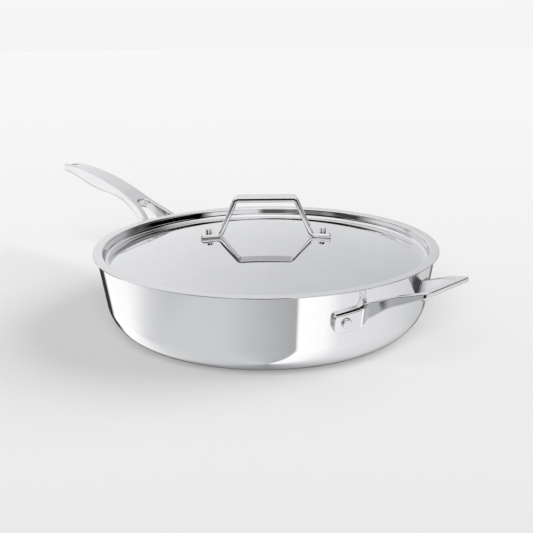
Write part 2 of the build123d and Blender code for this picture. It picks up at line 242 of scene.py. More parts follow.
@dataclass
class Surface:
    """A closed surface: its points in millimetres and its faces, grouped by their number of corners."""

    points: Array
    faces: list[Array]

    def placed(self, turn: Array, shift: Array) -> "Surface":
        """The surface turned by the rows of a matrix and then moved."""
        return Surface(self.points @ turn.T + shift, self.faces)

    def turned_over(self) -> "Surface":
        """The surface with every face the other way round."""
        return Surface(self.points, [group[:, ::-1] for group in self.faces])

    def outward(self) -> "Surface":
        """The surface with its faces outwards.

        Each face is a fan of triangles, and the sum of a . (b x c) over them is six times the volume,
        which is negative when the faces look inwards.

        Returns:
            The surface, turned over where its volume is negative.
        """
        volume = 0.0
        for group in self.faces:
            first = self.points[group[:, 0]]
            for corner in range(1, group.shape[1] - 1):
                cross = np.cross(self.points[group[:, corner]], self.points[group[:, corner + 1]])
                volume += float(np.sum(first * cross))
        return self if volume > 0 else self.turned_over()

    def as_object(self, name: str) -> bpy.types.Object:
        """A smooth-shaded object of this surface, in metres, at the origin.

        Args:
            name: Name of the object and its mesh.

        Returns:
            The object, linked to the scene.
        """
        solid = self.outward()
        mesh = bpy.data.meshes.new(name)
        corners = np.concatenate([group.ravel() for group in solid.faces]).astype(np.int32)
        sizes = np.concatenate([np.full(len(group), group.shape[1]) for group in solid.faces])
        sizes = sizes.astype(np.int32)
        mesh.vertices.add(len(solid.points))
        mesh.vertices.foreach_set("co", (solid.points * MM).astype(np.float32).ravel())
        mesh.loops.add(len(corners))
        mesh.loops.foreach_set("vertex_index", corners)
        mesh.polygons.add(len(sizes))
        starts = np.concatenate([[0], np.cumsum(sizes)[:-1]])
        mesh.polygons.foreach_set("loop_start", starts.astype(np.int32))
        mesh.polygons.foreach_set("loop_total", sizes)
        mesh.update(calc_edges=True)
        mesh.shade_smooth()
        mesh.validate()
        piece = bpy.data.objects.new(name, mesh)
        bpy.context.scene.collection.objects.link(piece)
        return piece


def revolved(profile: Array, segments: int) -> Surface:
    """A profile turned about the Z axis: (r cos t, r sin t, z) for a profile point (r, z).

    A profile point on the axis becomes one pole with a fan of triangles, and the others make rings.

    Args:
        profile: Points (r, z) from pole to pole, (n, 2), the first and the last on the axis.
        segments: Number of steps around the axis.

    Returns:
        The closed surface.
    """
    turn = np.linspace(0, 2 * math.pi, segments, endpoint=False)
    rings = profile[1:-1]
    grid = np.stack([rings[:, :1] * np.cos(turn), rings[:, :1] * np.sin(turn),
                     np.repeat(rings[:, 1:], segments, axis=1)], axis=2)
    poles = np.array([[0, 0, profile[0, 1]], [0, 0, profile[-1, 1]]])
    points = np.concatenate([grid.reshape(-1, 3), poles])
    index = np.arange(len(rings) * segments).reshape(len(rings), segments)
    after = np.roll(index, -1, axis=1)
    quads = np.stack([index[:-1], after[:-1], after[1:], index[1:]], axis=2).reshape(-1, 4)
    first_pole, last_pole = len(points) - 2, len(points) - 1
    low_fan = np.stack([np.full(segments, first_pole), after[0], index[0]], axis=1)
    high_fan = np.stack([np.full(segments, last_pole), index[-1], after[-1]], axis=1)
    return Surface(points, [quads, low_fan, high_fan])


def plan_normals(rail: Array, left: bool) -> Array:
    """Unit normals of a plane path: its central-difference tangent turned a quarter turn.

    Args:
        rail: Points of the path, (n, 2).
        left: Whether the normal points to the left of the way along the path.

    Returns:
        Unit normals, (n, 2).
    """
    tangent = np.gradient(rail, axis=0)
    tangent /= np.maximum(np.linalg.norm(tangent, axis=1, keepdims=True), 1e-9)
    normal = np.stack([-tangent[:, 1], tangent[:, 0]], axis=1)
    return normal if left else -normal


@dataclass
class Ribbon:
    """A bar between two plane rails, with heights above the plane and rounded edges.

    Station k of the bar joins outer[k] to inner[k]. Around a station run the outer side, the top, the
    inner side and the bottom. A rounded edge of radius r puts its points r(1 - cos a) in from the rail,
    along the rail's own normal, and r(1 - sin a) short of the top or bottom, for a from 0 to 90 degrees.
    The top and bottom faces may be crowned: a parabola across the bar that is highest in its middle.
    """

    outer: Array
    inner: Array
    outer_normals: Array
    inner_normals: Array
    top: Callable[[Array], Array]
    low: Callable[[Array], Array]
    outer_top_round: Array
    outer_low_round: Array
    inner_top_round: Array
    inner_low_round: Array
    inner_low_shift: Array | float = 0.0
    crown: float = 0.0
    round_count: int = 7
    side_count: int = 8
    face_count: int = 8

    def rounded_edge(self, rail: Array, normals: Array, radius: Array, line_of: Callable[[Array], Array],
                     upper: bool) -> Array:
        """Rows of one rounded edge, from the side face to the top or bottom face.

        Args:
            rail: Points of the rail, (n, 2).
            normals: Its outward normals.
            radius: Radius at each station.
            line_of: Height of the top or bottom at plan points of shape (n, m, 2).
            upper: Whether this edge is along the top.

        Returns:
            Points, (n, m, 3).
        """
        angle = np.linspace(0, math.pi / 2, self.round_count)
        inset = radius[:, None] * (1 - np.cos(angle))
        drop = radius[:, None] * (1 - np.sin(angle))
        plan = rail[:, None, :] - normals[:, None, :] * inset[:, :, None]
        height = line_of(plan) - drop if upper else line_of(plan) + drop
        return np.concatenate([plan, height[:, :, None]], axis=2)

    def loops(self) -> Array:
        """All rows around the bar, the last row next to the first.

        Rows of the flat sides and faces lie at shares (1 - cos(pi * k / n)) / 2 between the rounded edges.
        The crown adds 4 * crown * s * (1 - s) at a share s across a face, less the crown itself.

        Returns:
            Points, (stations, rows, 3).
        """
        outer_top = self.rounded_edge(self.outer, self.outer_normals, self.outer_top_round, self.top, True)
        outer_low = self.rounded_edge(self.outer, self.outer_normals, self.outer_low_round, self.low, False)
        inner_top = self.rounded_edge(self.inner, self.inner_normals, self.inner_top_round, self.top, True)
        inner_low = self.rounded_edge(self.inner + self.inner_low_shift, self.inner_normals,
                                      self.inner_low_round, self.low, False)
        side = ((1 - np.cos(np.linspace(0, math.pi, self.side_count + 2))) / 2)[1:-1][None, :, None]
        face = ((1 - np.cos(np.linspace(0, math.pi, self.face_count + 2))) / 2)[1:-1][None, :, None]
        outer_side = outer_low[:, :1] * (1 - side) + outer_top[:, :1] * side
        inner_side = inner_top[:, :1] * (1 - side) + inner_low[:, :1] * side
        top_plan = outer_top[:, -1:, :2] * (1 - face) + inner_top[:, -1:, :2] * face
        low_plan = inner_low[:, -1:, :2] * (1 - face) + outer_low[:, -1:, :2] * face
        top_face = np.concatenate([top_plan, self.top(top_plan)[:, :, None]], axis=2)
        low_face = np.concatenate([low_plan, self.low(low_plan)[:, :, None]], axis=2)
        bulge = self.crown * 4 * face * (1 - face)
        top_face[:, :, 2:] += bulge - self.crown
        low_face[:, :, 2:] -= bulge - self.crown
        outer_top[:, :, 2] -= self.crown
        inner_top[:, :, 2] -= self.crown
        outer_low[:, :, 2] += self.crown
        inner_low[:, :, 2] += self.crown
        return np.concatenate([outer_side, outer_top, top_face, inner_top[:, ::-1], inner_side, inner_low,
                               low_face, outer_low[:, ::-1]], axis=1)


class Ends(Enum):
    """How a bar's ends are made."""

    CAPPED = "capped"
    START_CAPPED = "start capped"


def skinned(loops: Array, ends: Ends) -> Surface:
    """Quads between neighbouring rows of neighbouring stations, and one flat face for each capped end.

    Args:
        loops: Rows around each station, (stations, rows, 3).
        ends: Which ends get a cap.

    Returns:
        The surface.
    """
    stations, rows = loops.shape[:2]
    index = np.arange(stations * rows).reshape(stations, rows)
    after = np.roll(index, -1, axis=1)
    quads = np.stack([index[:-1], index[1:], after[1:], after[:-1]], axis=2).reshape(-1, 4)
    faces = [quads, index[:1]]
    if ends is Ends.CAPPED:
        faces.append(index[-1:, ::-1])
    return Surface(loops.reshape(-1, 3), faces)


def mirrored_half(half: Surface) -> Surface:
    """A half shape joined to its mirror image across y = 0.

    Faces that lie in the plane y = 0 are dropped, and points in it are shared by both halves.

    Args:
        half: The half with y of 0 or more.

    Returns:
        The whole surface.
    """
    points = half.points.copy()
    flat = np.abs(points[:, 1]) < NEAR_PLANE
    points[flat, 1] = 0
    image = np.where(flat, np.arange(len(points)), len(points) + np.cumsum(~flat) - 1)
    other = points[~flat] * np.array([1, -1, 1])
    faces = []
    for group in half.faces:
        kept = group[~np.all(flat[group], axis=1)]
        faces.append(kept)
        faces.append(image[kept][:, ::-1])
    whole = np.concatenate([points, other])
    used = np.zeros(len(whole), dtype=bool)
    for group in faces:
        used[group.ravel()] = True
    renumber = np.cumsum(used) - 1
    return Surface(whole[used], [renumber[group] for group in faces if len(group)])


# Materials


def shade(level: float) -> float:
    """Linear light of a display level from 0 to 255."""
    value = level / 255
    return value / 12.92 if value <= 0.04045 else ((value + 0.055) / 1.055) ** 2.4


class NodeBoard:
    """Places and links the nodes of one tree."""

    def __init__(self, tree: bpy.types.NodeTree) -> None:
        """Empties the tree and keeps it."""
        self.tree = tree
        tree.nodes.clear()

    def add(self, kind: str, inputs: dict[str | int, object] | None = None,
            **settings: object) -> bpy.types.Node:
        """A new node with its settings and its inputs, each a value or another node's output.

        Args:
            kind: Blender's name of the node type.
            inputs: Values or sockets by input name or number.
            **settings: Properties of the node.

        Returns:
            The node.
        """
        node = self.tree.nodes.new(kind)
        for name, value in settings.items():
            setattr(node, name, value)
        for key, value in (inputs or {}).items():
            if isinstance(value, bpy.types.NodeSocket):
                self.tree.links.new(value, node.inputs[key])
            else:
                node.inputs[key].default_value = value
        return node

    def maths(self, operation: str, *values: object, clamp: bool = False) -> Socket:
        """Output of a Math node on values or sockets."""
        node = self.add("ShaderNodeMath", dict(enumerate(values)), operation=operation, use_clamp=clamp)
        return node.outputs[0]

    def stretch(self, value: object, low: float, high: float, to_low: float, to_high: float) -> Socket:
        """Value carried from one range to another and held there."""
        return self.add("ShaderNodeMapRange", {0: value, 1: low, 2: high, 3: to_low, 4: to_high}).outputs[0]

    def mixed(self, share: object, first: object, second: object) -> Socket:
        """Colour between a first one at share 0 and a second one at share 1."""
        return self.add("ShaderNodeMix", {0: share, 6: first, 7: second}, data_type="RGBA").outputs[2]

    def ramp(self, place: object, stops: Sequence[tuple[float, Colour]]) -> Socket:
        """Colour of a ramp at a place.

        Args:
            place: Place along the ramp, from 0 to 1.
            stops: Rising places with their colours.

        Returns:
            Output of the ramp.
        """
        node = self.add("ShaderNodeValToRGB", {0: place})
        elements = node.color_ramp.elements
        while len(elements) > 1:
            elements.remove(elements[-1])
        elements[0].position, elements[0].color = stops[0]
        for position, colour in stops[1:]:
            elements.new(position).color = colour
        return node.outputs[0]


class Effect(Enum):
    """Surface effects that several finishes share."""

    TURNED_RINGS = "turned_rings"
    HANDLING = "handling_marks"
    GRAIN = "polishing_grain"


def effect_tree(effect: Effect, inputs: dict[str, float],
                outputs: list[str]) -> tuple[NodeBoard, bpy.types.Node, bpy.types.Node]:
    """An empty group for an effect, with a vector input, its number inputs and its outputs.

    Args:
        effect: The effect.
        inputs: Default of each number input.
        outputs: Names of the outputs.

    Returns:
        The board, the group's input node and its output node.
    """
    tree = bpy.data.node_groups.new(effect.value, "ShaderNodeTree")
    tree.interface.new_socket("Place", in_out="INPUT", socket_type="NodeSocketVector")
    for name, value in inputs.items():
        socket = tree.interface.new_socket(name, in_out="INPUT", socket_type="NodeSocketFloat")
        socket.default_value = value
    for name in outputs:
        tree.interface.new_socket(name, in_out="OUTPUT", socket_type="NodeSocketFloat")
    board = NodeBoard(tree)
    return board, board.add("NodeGroupInput"), board.add("NodeGroupOutput")


def build_turned_rings() -> None:
    """Fine rings around the axis: noise along the distance from it, and a broader noise for their tone."""
    board, given, result = effect_tree(Effect.TURNED_RINGS, {"Rings per metre": 900.0}, ["Height", "Tone"])
    apart = board.add("ShaderNodeSeparateXYZ", {0: given.outputs["Place"]})
    squares = board.maths("ADD", board.maths("POWER", apart.outputs[0], 2.0),
                          board.maths("POWER", apart.outputs[1], 2.0))
    distance = board.maths("SQRT", squares)
    count = board.maths("MULTIPLY", distance, given.outputs["Rings per metre"])
    fine = board.add("ShaderNodeTexNoise", {"W": count, "Scale": 1.0, "Detail": 3.0}, noise_dimensions="1D")
    slower = board.maths("MULTIPLY", count, 0.13)
    broad = board.add("ShaderNodeTexNoise", {"W": slower, "Scale": 1.0, "Detail": 2.0}, noise_dimensions="1D")
    board.tree.links.new(fine.outputs[0], result.inputs["Height"])
    board.tree.links.new(board.stretch(broad.outputs[0], 0.3, 0.7, 0.0, 1.0), result.inputs["Tone"])


def build_handling() -> None:
    """Faint clouds and small wipe marks that a cloth leaves on polished steel."""
    board, given, result = effect_tree(Effect.HANDLING, {"Size": 30.0}, ["Cloud", "Wipe"])
    cloud = board.add("ShaderNodeTexNoise", {"Vector": given.outputs["Place"], "Scale": given.outputs["Size"],
                                             "Detail": 4.0, "Roughness": 0.55})
    finer = board.maths("MULTIPLY", given.outputs["Size"], 5.0)
    wipe = board.add("ShaderNodeTexNoise", {"Vector": given.outputs["Place"], "Scale": finer, "Detail": 6.0,
                                            "Distortion": 1.5})
    board.tree.links.new(board.stretch(cloud.outputs[0], 0.3, 0.7, 0.0, 1.0), result.inputs["Cloud"])
    board.tree.links.new(board.stretch(wipe.outputs[0], 0.45, 0.75, 0.0, 1.0), result.inputs["Wipe"])


def build_grain() -> None:
    """Long fine scratches of polishing: noise stretched along X."""
    board, given, result = effect_tree(Effect.GRAIN, {"Fineness": 1500.0}, ["Height"])
    drawn = board.add("ShaderNodeMapping", {"Vector": given.outputs["Place"], "Scale": (0.04, 1.0, 1.0)})
    lines = board.add("ShaderNodeTexNoise", {"Vector": drawn.outputs[0], "Scale": given.outputs["Fineness"],
                                             "Detail": 3.0})
    board.tree.links.new(lines.outputs[0], result.inputs["Height"])


@dataclass(frozen=True)
class SteelFinish:
    """One finish of stainless steel or aluminium, with its roughness range, its surface marks and, where a
    hole is given, painted shade inside that hole.
    """

    name: str
    tone: tuple[float, float, float]
    roughness: tuple[float, float]
    ring_relief: float = 0.0
    ring_density: float = 900.0
    ring_tone: float = 0.0
    grain_relief: float = 0.0
    grain_fineness: float = 1500.0
    cloud_size: float = 25.0
    cloud_tone: float = 0.04
    turned: bool = False
    # Centre x, y and radius in metres of a hole whose inside gets painted shade, and the share of colour left
    # there.
    painted_hole_shade: tuple[float, float, float] | None = None
    hole_shade_level: float = 0.22

    def material(self) -> bpy.types.Material:
        """The finish as a material: a metal whose roughness, colour and bump follow the shared effects, and
        whose colour is darkened by painted shade inside a hole where one is given.

        Returns:
            The material.
        """
        material = bpy.data.materials.new(self.name)
        material.use_nodes = True
        board = NodeBoard(material.node_tree)
        place = board.add("ShaderNodeTexCoord").outputs["Object"]
        marks = self.effect(board, Effect.HANDLING, place, {"Size": self.cloud_size})
        worn = board.maths("MULTIPLY", marks.outputs["Wipe"], 0.35)
        share = board.maths("ADD", board.maths("MULTIPLY", marks.outputs["Cloud"], 0.65), worn, clamp=True)
        roughness = board.stretch(share, 0.0, 1.0, self.roughness[0], self.roughness[1])
        marks_and_hole_shade = board.stretch(marks.outputs["Cloud"], 0.0, 1.0, 1.0, 1.0 - self.cloud_tone)
        if self.turned:
            rings = self.effect(board, Effect.TURNED_RINGS, place, {"Rings per metre": self.ring_density})
            marks_and_hole_shade = board.maths("MULTIPLY", marks_and_hole_shade, board.stretch(rings.outputs["Tone"], 0.0, 1.0, 1.0,
                                                               1.0 - self.ring_tone))
            height, relief = rings.outputs["Height"], self.ring_relief
        else:
            grain = self.effect(board, Effect.GRAIN, place, {"Fineness": self.grain_fineness})
            height, relief = grain.outputs["Height"], self.grain_relief
        # Painted shade: the colour is darkened within the hole's radius, standing in for the shade inside the
        # hole.
        if self.painted_hole_shade:
            centre, radius = self.painted_hole_shade[:2] + (0.0,), self.painted_hole_shade[2]
            flat = board.add("ShaderNodeVectorMath", {0: place, 1: (1.0, 1.0, 0.0)}, operation="MULTIPLY")
            away = board.add("ShaderNodeVectorMath", {0: flat.outputs[0], 1: centre}, operation="DISTANCE")
            hole_shade_factor = board.stretch(away.outputs["Value"], radius * 1.01, radius * 1.08, self.hole_shade_level, 1.0)
            marks_and_hole_shade = board.maths("MULTIPLY", marks_and_hole_shade, hole_shade_factor)
        bump = board.add("ShaderNodeBump", {"Strength": 1.0, "Distance": relief * MM, "Height": height})
        colour = board.add("ShaderNodeVectorMath", {0: self.tone, "Scale": marks_and_hole_shade}, operation="SCALE")
        metal = board.add("ShaderNodeBsdfPrincipled", {"Base Color": colour.outputs[0], "Metallic": 1.0,
                                                       "Roughness": roughness, "Normal": bump.outputs[0]})
        board.add("ShaderNodeOutputMaterial", {0: metal.outputs[0]})
        return material

    @staticmethod
    def effect(board: NodeBoard, effect: Effect, place: bpy.types.NodeSocket,
               values: dict[str, float]) -> bpy.types.Node:
        """A shared effect placed in a material with its own values.

        Args:
            board: The material's board.
            effect: The effect.
            place: Coordinates that the effect follows.
            values: Values of its number inputs.

        Returns:
            The group node.
        """
        return board.add("ShaderNodeGroup", {"Place": place, **values},
                         node_tree=bpy.data.node_groups[effect.value])


# Sizes


@dataclass(frozen=True)
class BowlSizes:
    """The pan's wall: a flat base, a bottom corner and a wall that flares outwards."""

    rim_radius: float = 155.8
    height: float = 72.0
    flare: float = 8.15
    corner_radius: float = 31.0
    wall_thickness: float = 3.0
    skin_thickness: float = 0.6

    @property
    def slope(self) -> float:
        """Tangent of the wall's flare."""
        return math.tan(math.radians(self.flare))

    @property
    def corner_centre(self) -> float:
        """Distance of the bottom corner's centre from the axis."""
        turn = math.radians(self.flare)
        return (self.rim_radius - self.corner_radius * math.cos(turn)
                - (self.height - self.corner_radius * (1 - math.sin(turn))) * self.slope)

    def radius_at(self, height: float, offset: float = 0.0) -> float:
        """Radius at a height of the line that lies an offset outside the outer wall."""
        outside = offset / math.cos(math.radians(self.flare))
        return self.rim_radius - (self.height - height) * self.slope + outside

    def side(self, depth: float) -> Array:
        """Profile of a face of the bowl: along the base, round the bottom corner and up the wall.

        Args:
            depth: How far the face lies inside the outer wall.

        Returns:
            Points (radius, height) from the axis to the rim.
        """
        base = line((0, depth), (self.corner_centre, depth), 20)
        bend = arc((self.corner_centre, self.corner_radius), self.corner_radius - depth, -90, -self.flare, 36)
        wall = line(tuple(bend[-1]), (self.radius_at(self.height, -depth), self.height), 24)
        return joined(base, bend, wall)


@dataclass(frozen=True)
class LidSizes:
    """The lid: a flange on the rim, a step, a trough and a crowned panel."""

    radius: float = 159.0
    thickness: float = 1.2
    flange_top: float = 73.2
    step_radius: float = 149.97
    bend_radius: float = 0.8
    trough_radius: float = 4.0
    trough_depth: float = 9.7
    crown_height: float = 7.4
    edge_round: float = 0.35

    @property
    def trough_centre(self) -> tuple[float, float]:
        """Centre of the trough's round, (radius, height)."""
        return self.step_radius - self.trough_radius, self.flange_top - self.trough_depth + self.trough_radius

    @property
    def dome_radius(self) -> float:
        """Radius of the crowned panel, which meets the trough's round without a kink."""
        reach, height = self.trough_centre
        drop = self.flange_top + self.crown_height - height
        return (reach ** 2 + drop ** 2 - self.trough_radius ** 2) / (2 * (self.trough_radius + drop))

    @property
    def dome_centre(self) -> float:
        """Height of the centre of the crowned panel's arc."""
        return self.flange_top + self.crown_height - self.dome_radius

    def panel_height(self, radius: float, depth: float = 0.0) -> float:
        """Height of the panel at a radius, or of the face that lies a depth below it."""
        return self.dome_centre + math.sqrt((self.dome_radius - depth) ** 2 - radius ** 2)

    def face(self, depth: float) -> Array:
        """Profile of a face of the lid: over the panel, through the trough, up the step and along the flange.

        Args:
            depth: How far the face lies below the upper one.

        Returns:
            Points (radius, height) from the axis to the edge.
        """
        reach, height = self.trough_centre
        turn = math.degrees(math.atan2(height - self.dome_centre, reach))
        bend = self.bend_radius + self.thickness
        bend_centre = (self.step_radius + bend, self.flange_top - bend)
        panel = arc((0, self.dome_centre), self.dome_radius - depth, 90, turn, 70, crowded=True)
        trough = arc(self.trough_centre, self.trough_radius + depth, turn - 180, 0, 28)
        step = line(tuple(trough[-1]), (bend_centre[0] - bend + depth, bend_centre[1]), 12)
        lip = arc(bend_centre, bend - depth, 180, 90, 14)
        flange = line(tuple(lip[-1]), (self.radius - self.edge_round, self.flange_top - depth), 18)
        return joined(panel, trough, step, lip, flange)


# Pieces


@dataclass
class Piece(abc.ABC):
    """A visible piece that stands for solids of the same name and place."""

    name: str
    body: str
    stands_for: tuple[str, ...]
    slot: str
    material: bpy.types.Material

    @abc.abstractmethod
    def mesh(self) -> Surface:
        """The piece's surface in millimetres."""

    def dress(self) -> bpy.types.Object:
        """Makes the object, gives it its material, ties it to its body and hides the nodes that it stands
        for.

        Returns:
            The object.
        """
        made = self.mesh().as_object(self.name)
        made.data.materials.append(self.material)
        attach(made, self.body)
        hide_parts(*self.stands_for)
        LOG.info("%s: %d faces", self.name, len(made.data.polygons))
        return made


@dataclass
class BowlSkin(Piece):
    """One steel skin of the bowl, between two depths inside the outer wall."""

    bowl: BowlSizes
    outer_depth: float
    inner_depth: float
    rim_round: float = 0.25
    segments: int = 384

    def mesh(self) -> Surface:
        """Profile out along the outer face, over the rim and back along the inner face, turned about Z.

        Only the skin's edge at the wall's outer or inner face is rounded, by a conic.

        Returns:
            The closed surface.
        """
        outer = self.bowl.side(self.outer_depth)
        inner = self.bowl.side(self.inner_depth)
        if self.outer_depth == 0:
            rim = [outer[-1] - (self.bowl.slope * self.rim_round, self.rim_round), outer[-1],
                   outer[-1] - (self.rim_round, 0)]
            outer = joined(outer[:-2], conic(*rim, 7), inner[-1:])
        else:
            rim = [inner[-1] + (self.rim_round, 0), inner[-1],
                   inner[-1] - (self.bowl.slope * self.rim_round, self.rim_round)]
            inner = joined(inner[:-2], conic(*rim, 7)[::-1])
        return revolved(joined(outer, inner[::-1]), self.segments)


@dataclass
class LidSheet(Piece):
    """The pressed lid."""

    lid: LidSizes
    segments: int = 384

    def mesh(self) -> Surface:
        """Upper face out to the edge, round it and back along the underside, turned about Z.

        Returns:
            The closed surface.
        """
        upper = self.lid.face(0.0)
        under = self.lid.face(self.lid.thickness)
        reach = self.lid.radius - self.lid.edge_round
        top, bottom = self.lid.flange_top, self.lid.flange_top - self.lid.thickness
        upper_edge = arc((reach, top - self.lid.edge_round), self.lid.edge_round, 90, 0, 6)
        lower_edge = arc((reach, bottom + self.lid.edge_round), self.lid.edge_round, 0, -90, 6)
        return revolved(joined(upper, upper_edge, lower_edge, under[::-1]), self.segments)


@dataclass(frozen=True)
class StrapSizes:
    """The lid handle's outline, above the lid's flange unless it says otherwise."""

    turn: float = 45.9
    width: float = 14.0
    grip_height: float = 44.5
    grip_thickness: float = 5.4
    grip_half_length: float = 28.8
    grip_outer_radius: float = 6.5
    grip_inner_radius: float = 2.5
    leg_thickness: float = 4.4
    leg_lean: float = 23.5
    foot_height: float = 9.3
    foot_length: float = 16.3
    foot_corner_radius: float = 3.0
    foot_upper_bend: float = 3.5
    foot_lower_bend: float = 7.0
    foot_counts: tuple[int, int, int] = (10, 10, 5)
    toe_step: float = 0.1
    sole_inset: float = 0.3
    seat_gap: float = 0.2
    edge_round: float = 0.8
    edge_share: float = 0.45
    edge_crown: float = 0.14

    @property
    def slope(self) -> float:
        """Tangent of the legs' lean."""
        return math.tan(math.radians(self.leg_lean))

    def foot_reach(self) -> float:
        """Distance of the foot's end from the lid's axis."""
        return self.grip_half_length + (self.grip_height - self.foot_height) * self.slope + self.foot_length

    def axes(self) -> tuple[Array, Array]:
        """Unit vectors along the strap and across it."""
        turn = math.radians(self.turn)
        return (np.array([math.cos(turn), math.sin(turn), 0]), np.array([math.sin(turn), -math.cos(turn), 0]))


@dataclass
class LidStrap(Piece):
    """The bent strap handle with its two feet."""

    lid: LidSizes
    strap: StrapSizes

    def half_rails(self) -> tuple[Array, Array]:
        """Outer and inner lines of one half, from the grip's middle to the foot's toe, with equal counts.

        The sole's stations are spread as the foot's are: at shares (x - x0) / (reach - x0) of its length.

        Returns:
            Outer and inner points, (along the strap, height).
        """
        strap, lid = self.strap, self.lid
        grip_top = lid.flange_top + strap.grip_height
        foot_top = lid.flange_top + strap.foot_height
        grip_inner = strap.grip_half_length - strap.leg_thickness / math.cos(math.radians(strap.leg_lean))
        leg_foot = strap.grip_half_length + (grip_top - foot_top) * strap.slope
        reach = strap.foot_reach()
        crown_top = lid.flange_top + lid.crown_height
        heel = lid.panel_height(grip_inner + (grip_top - crown_top) * strap.slope) + strap.seat_gap
        heel_reach = grip_inner + (grip_top - heel) * strap.slope
        toe = lid.panel_height(reach) + strap.seat_gap
        outer = joined(*rounded_runs([(0, grip_top), (strap.grip_half_length, grip_top), (leg_foot, foot_top),
                                      (reach, foot_top), (reach, toe + strap.toe_step)],
                                     [strap.grip_outer_radius, strap.foot_upper_bend,
                                      strap.foot_corner_radius],
                                     [18, 12, 16, 10, *strap.foot_counts]))
        inner_runs = rounded_runs([(0, grip_top - strap.grip_thickness),
                                   (grip_inner + strap.grip_thickness * strap.slope,
                                    grip_top - strap.grip_thickness),
                                   (heel_reach, heel), (reach, toe)],
                                  [strap.grip_inner_radius, strap.foot_lower_bend], [18, 12, 16, 10, 2])
        sole_start = inner_runs[-1][0]
        foot = outer[2 - sum(strap.foot_counts):, 0]
        share = (foot - foot[0]) / (reach - foot[0])
        sole = sole_start + share[:, None] * (np.array([reach - strap.sole_inset, toe]) - sole_start)
        inner = joined(*inner_runs[:-1])
        return outer, np.concatenate([inner, sole[len(inner) + len(sole) - len(outer):]])

    def mesh(self) -> Surface:
        """Strap between its outer and inner lines, as wide as the strap, with rounded edges, stood upright.

        Returns:
            The closed surface.
        """
        outer_half, inner_half = self.half_rails()
        flip = np.array([-1, 1])
        outer = np.concatenate([outer_half[:0:-1] * flip, outer_half])
        inner = np.concatenate([inner_half[:0:-1] * flip, inner_half])
        half_width = self.strap.width / 2
        thickness = np.linalg.norm(outer - inner, axis=1)
        radius = np.minimum(self.strap.edge_round, self.strap.edge_share * thickness)
        ribbon = Ribbon(outer, inner, plan_normals(outer, True), plan_normals(inner, False),
                        lambda plan: np.full(plan.shape[:2], half_width),
                        lambda plan: np.full(plan.shape[:2], -half_width),
                        radius, radius, radius, radius, crown=self.strap.edge_crown)
        along, across = self.strap.axes()
        turn = np.stack([along, np.array([0, 0, 1]), across], axis=1)
        return skinned(ribbon.loops(), Ends.CAPPED).placed(turn, np.zeros(3))


@dataclass(frozen=True)
class PadSizes:
    """Pads that hold the handles on the wall, measured from their rivet along and up the wall."""

    thickness: float = 4.2
    seat_gap: float = 0.1
    end_reach: float = 10.1
    end_top: float = 5.8
    end_bottom: float = -10.3
    root_top: float = 10.2
    root_bottom: float = -7.9
    top_corner: float = 3.0
    bottom_corner: float = 7.5
    edge_round: float = 1.0
    bend_reach: float = 4.0
    root_margin: float = 6.0
    round_count: int = 7
    body_count: int = 44
    body_crowding: float = 1.5

    def end_line(self, along: Array, root: float, upper: bool) -> Array:
        """Height above the rivet of the pad's top or bottom edge, with its end corner rounded.

        The edge is a straight run from the end to the root. Within a corner radius r of the end it falls
        short by r - sqrt(r^2 - (r - d)^2) at a distance d from the end.

        Args:
            along: Distance along the wall from the rivet towards the arm.
            root: Distance of the root from the rivet.
            upper: Whether this is the top edge.

        Returns:
            Heights above the rivet.
        """
        end, root_height = (self.end_top, self.root_top) if upper else (self.end_bottom, self.root_bottom)
        corner = self.top_corner if upper else self.bottom_corner
        from_end = along + self.end_reach
        height = end + (root_height - end) * from_end / (root + self.end_reach)
        short = corner - np.sqrt(np.maximum(corner ** 2 - np.maximum(corner - from_end, 0) ** 2, 0))
        return height - short if upper else height + short


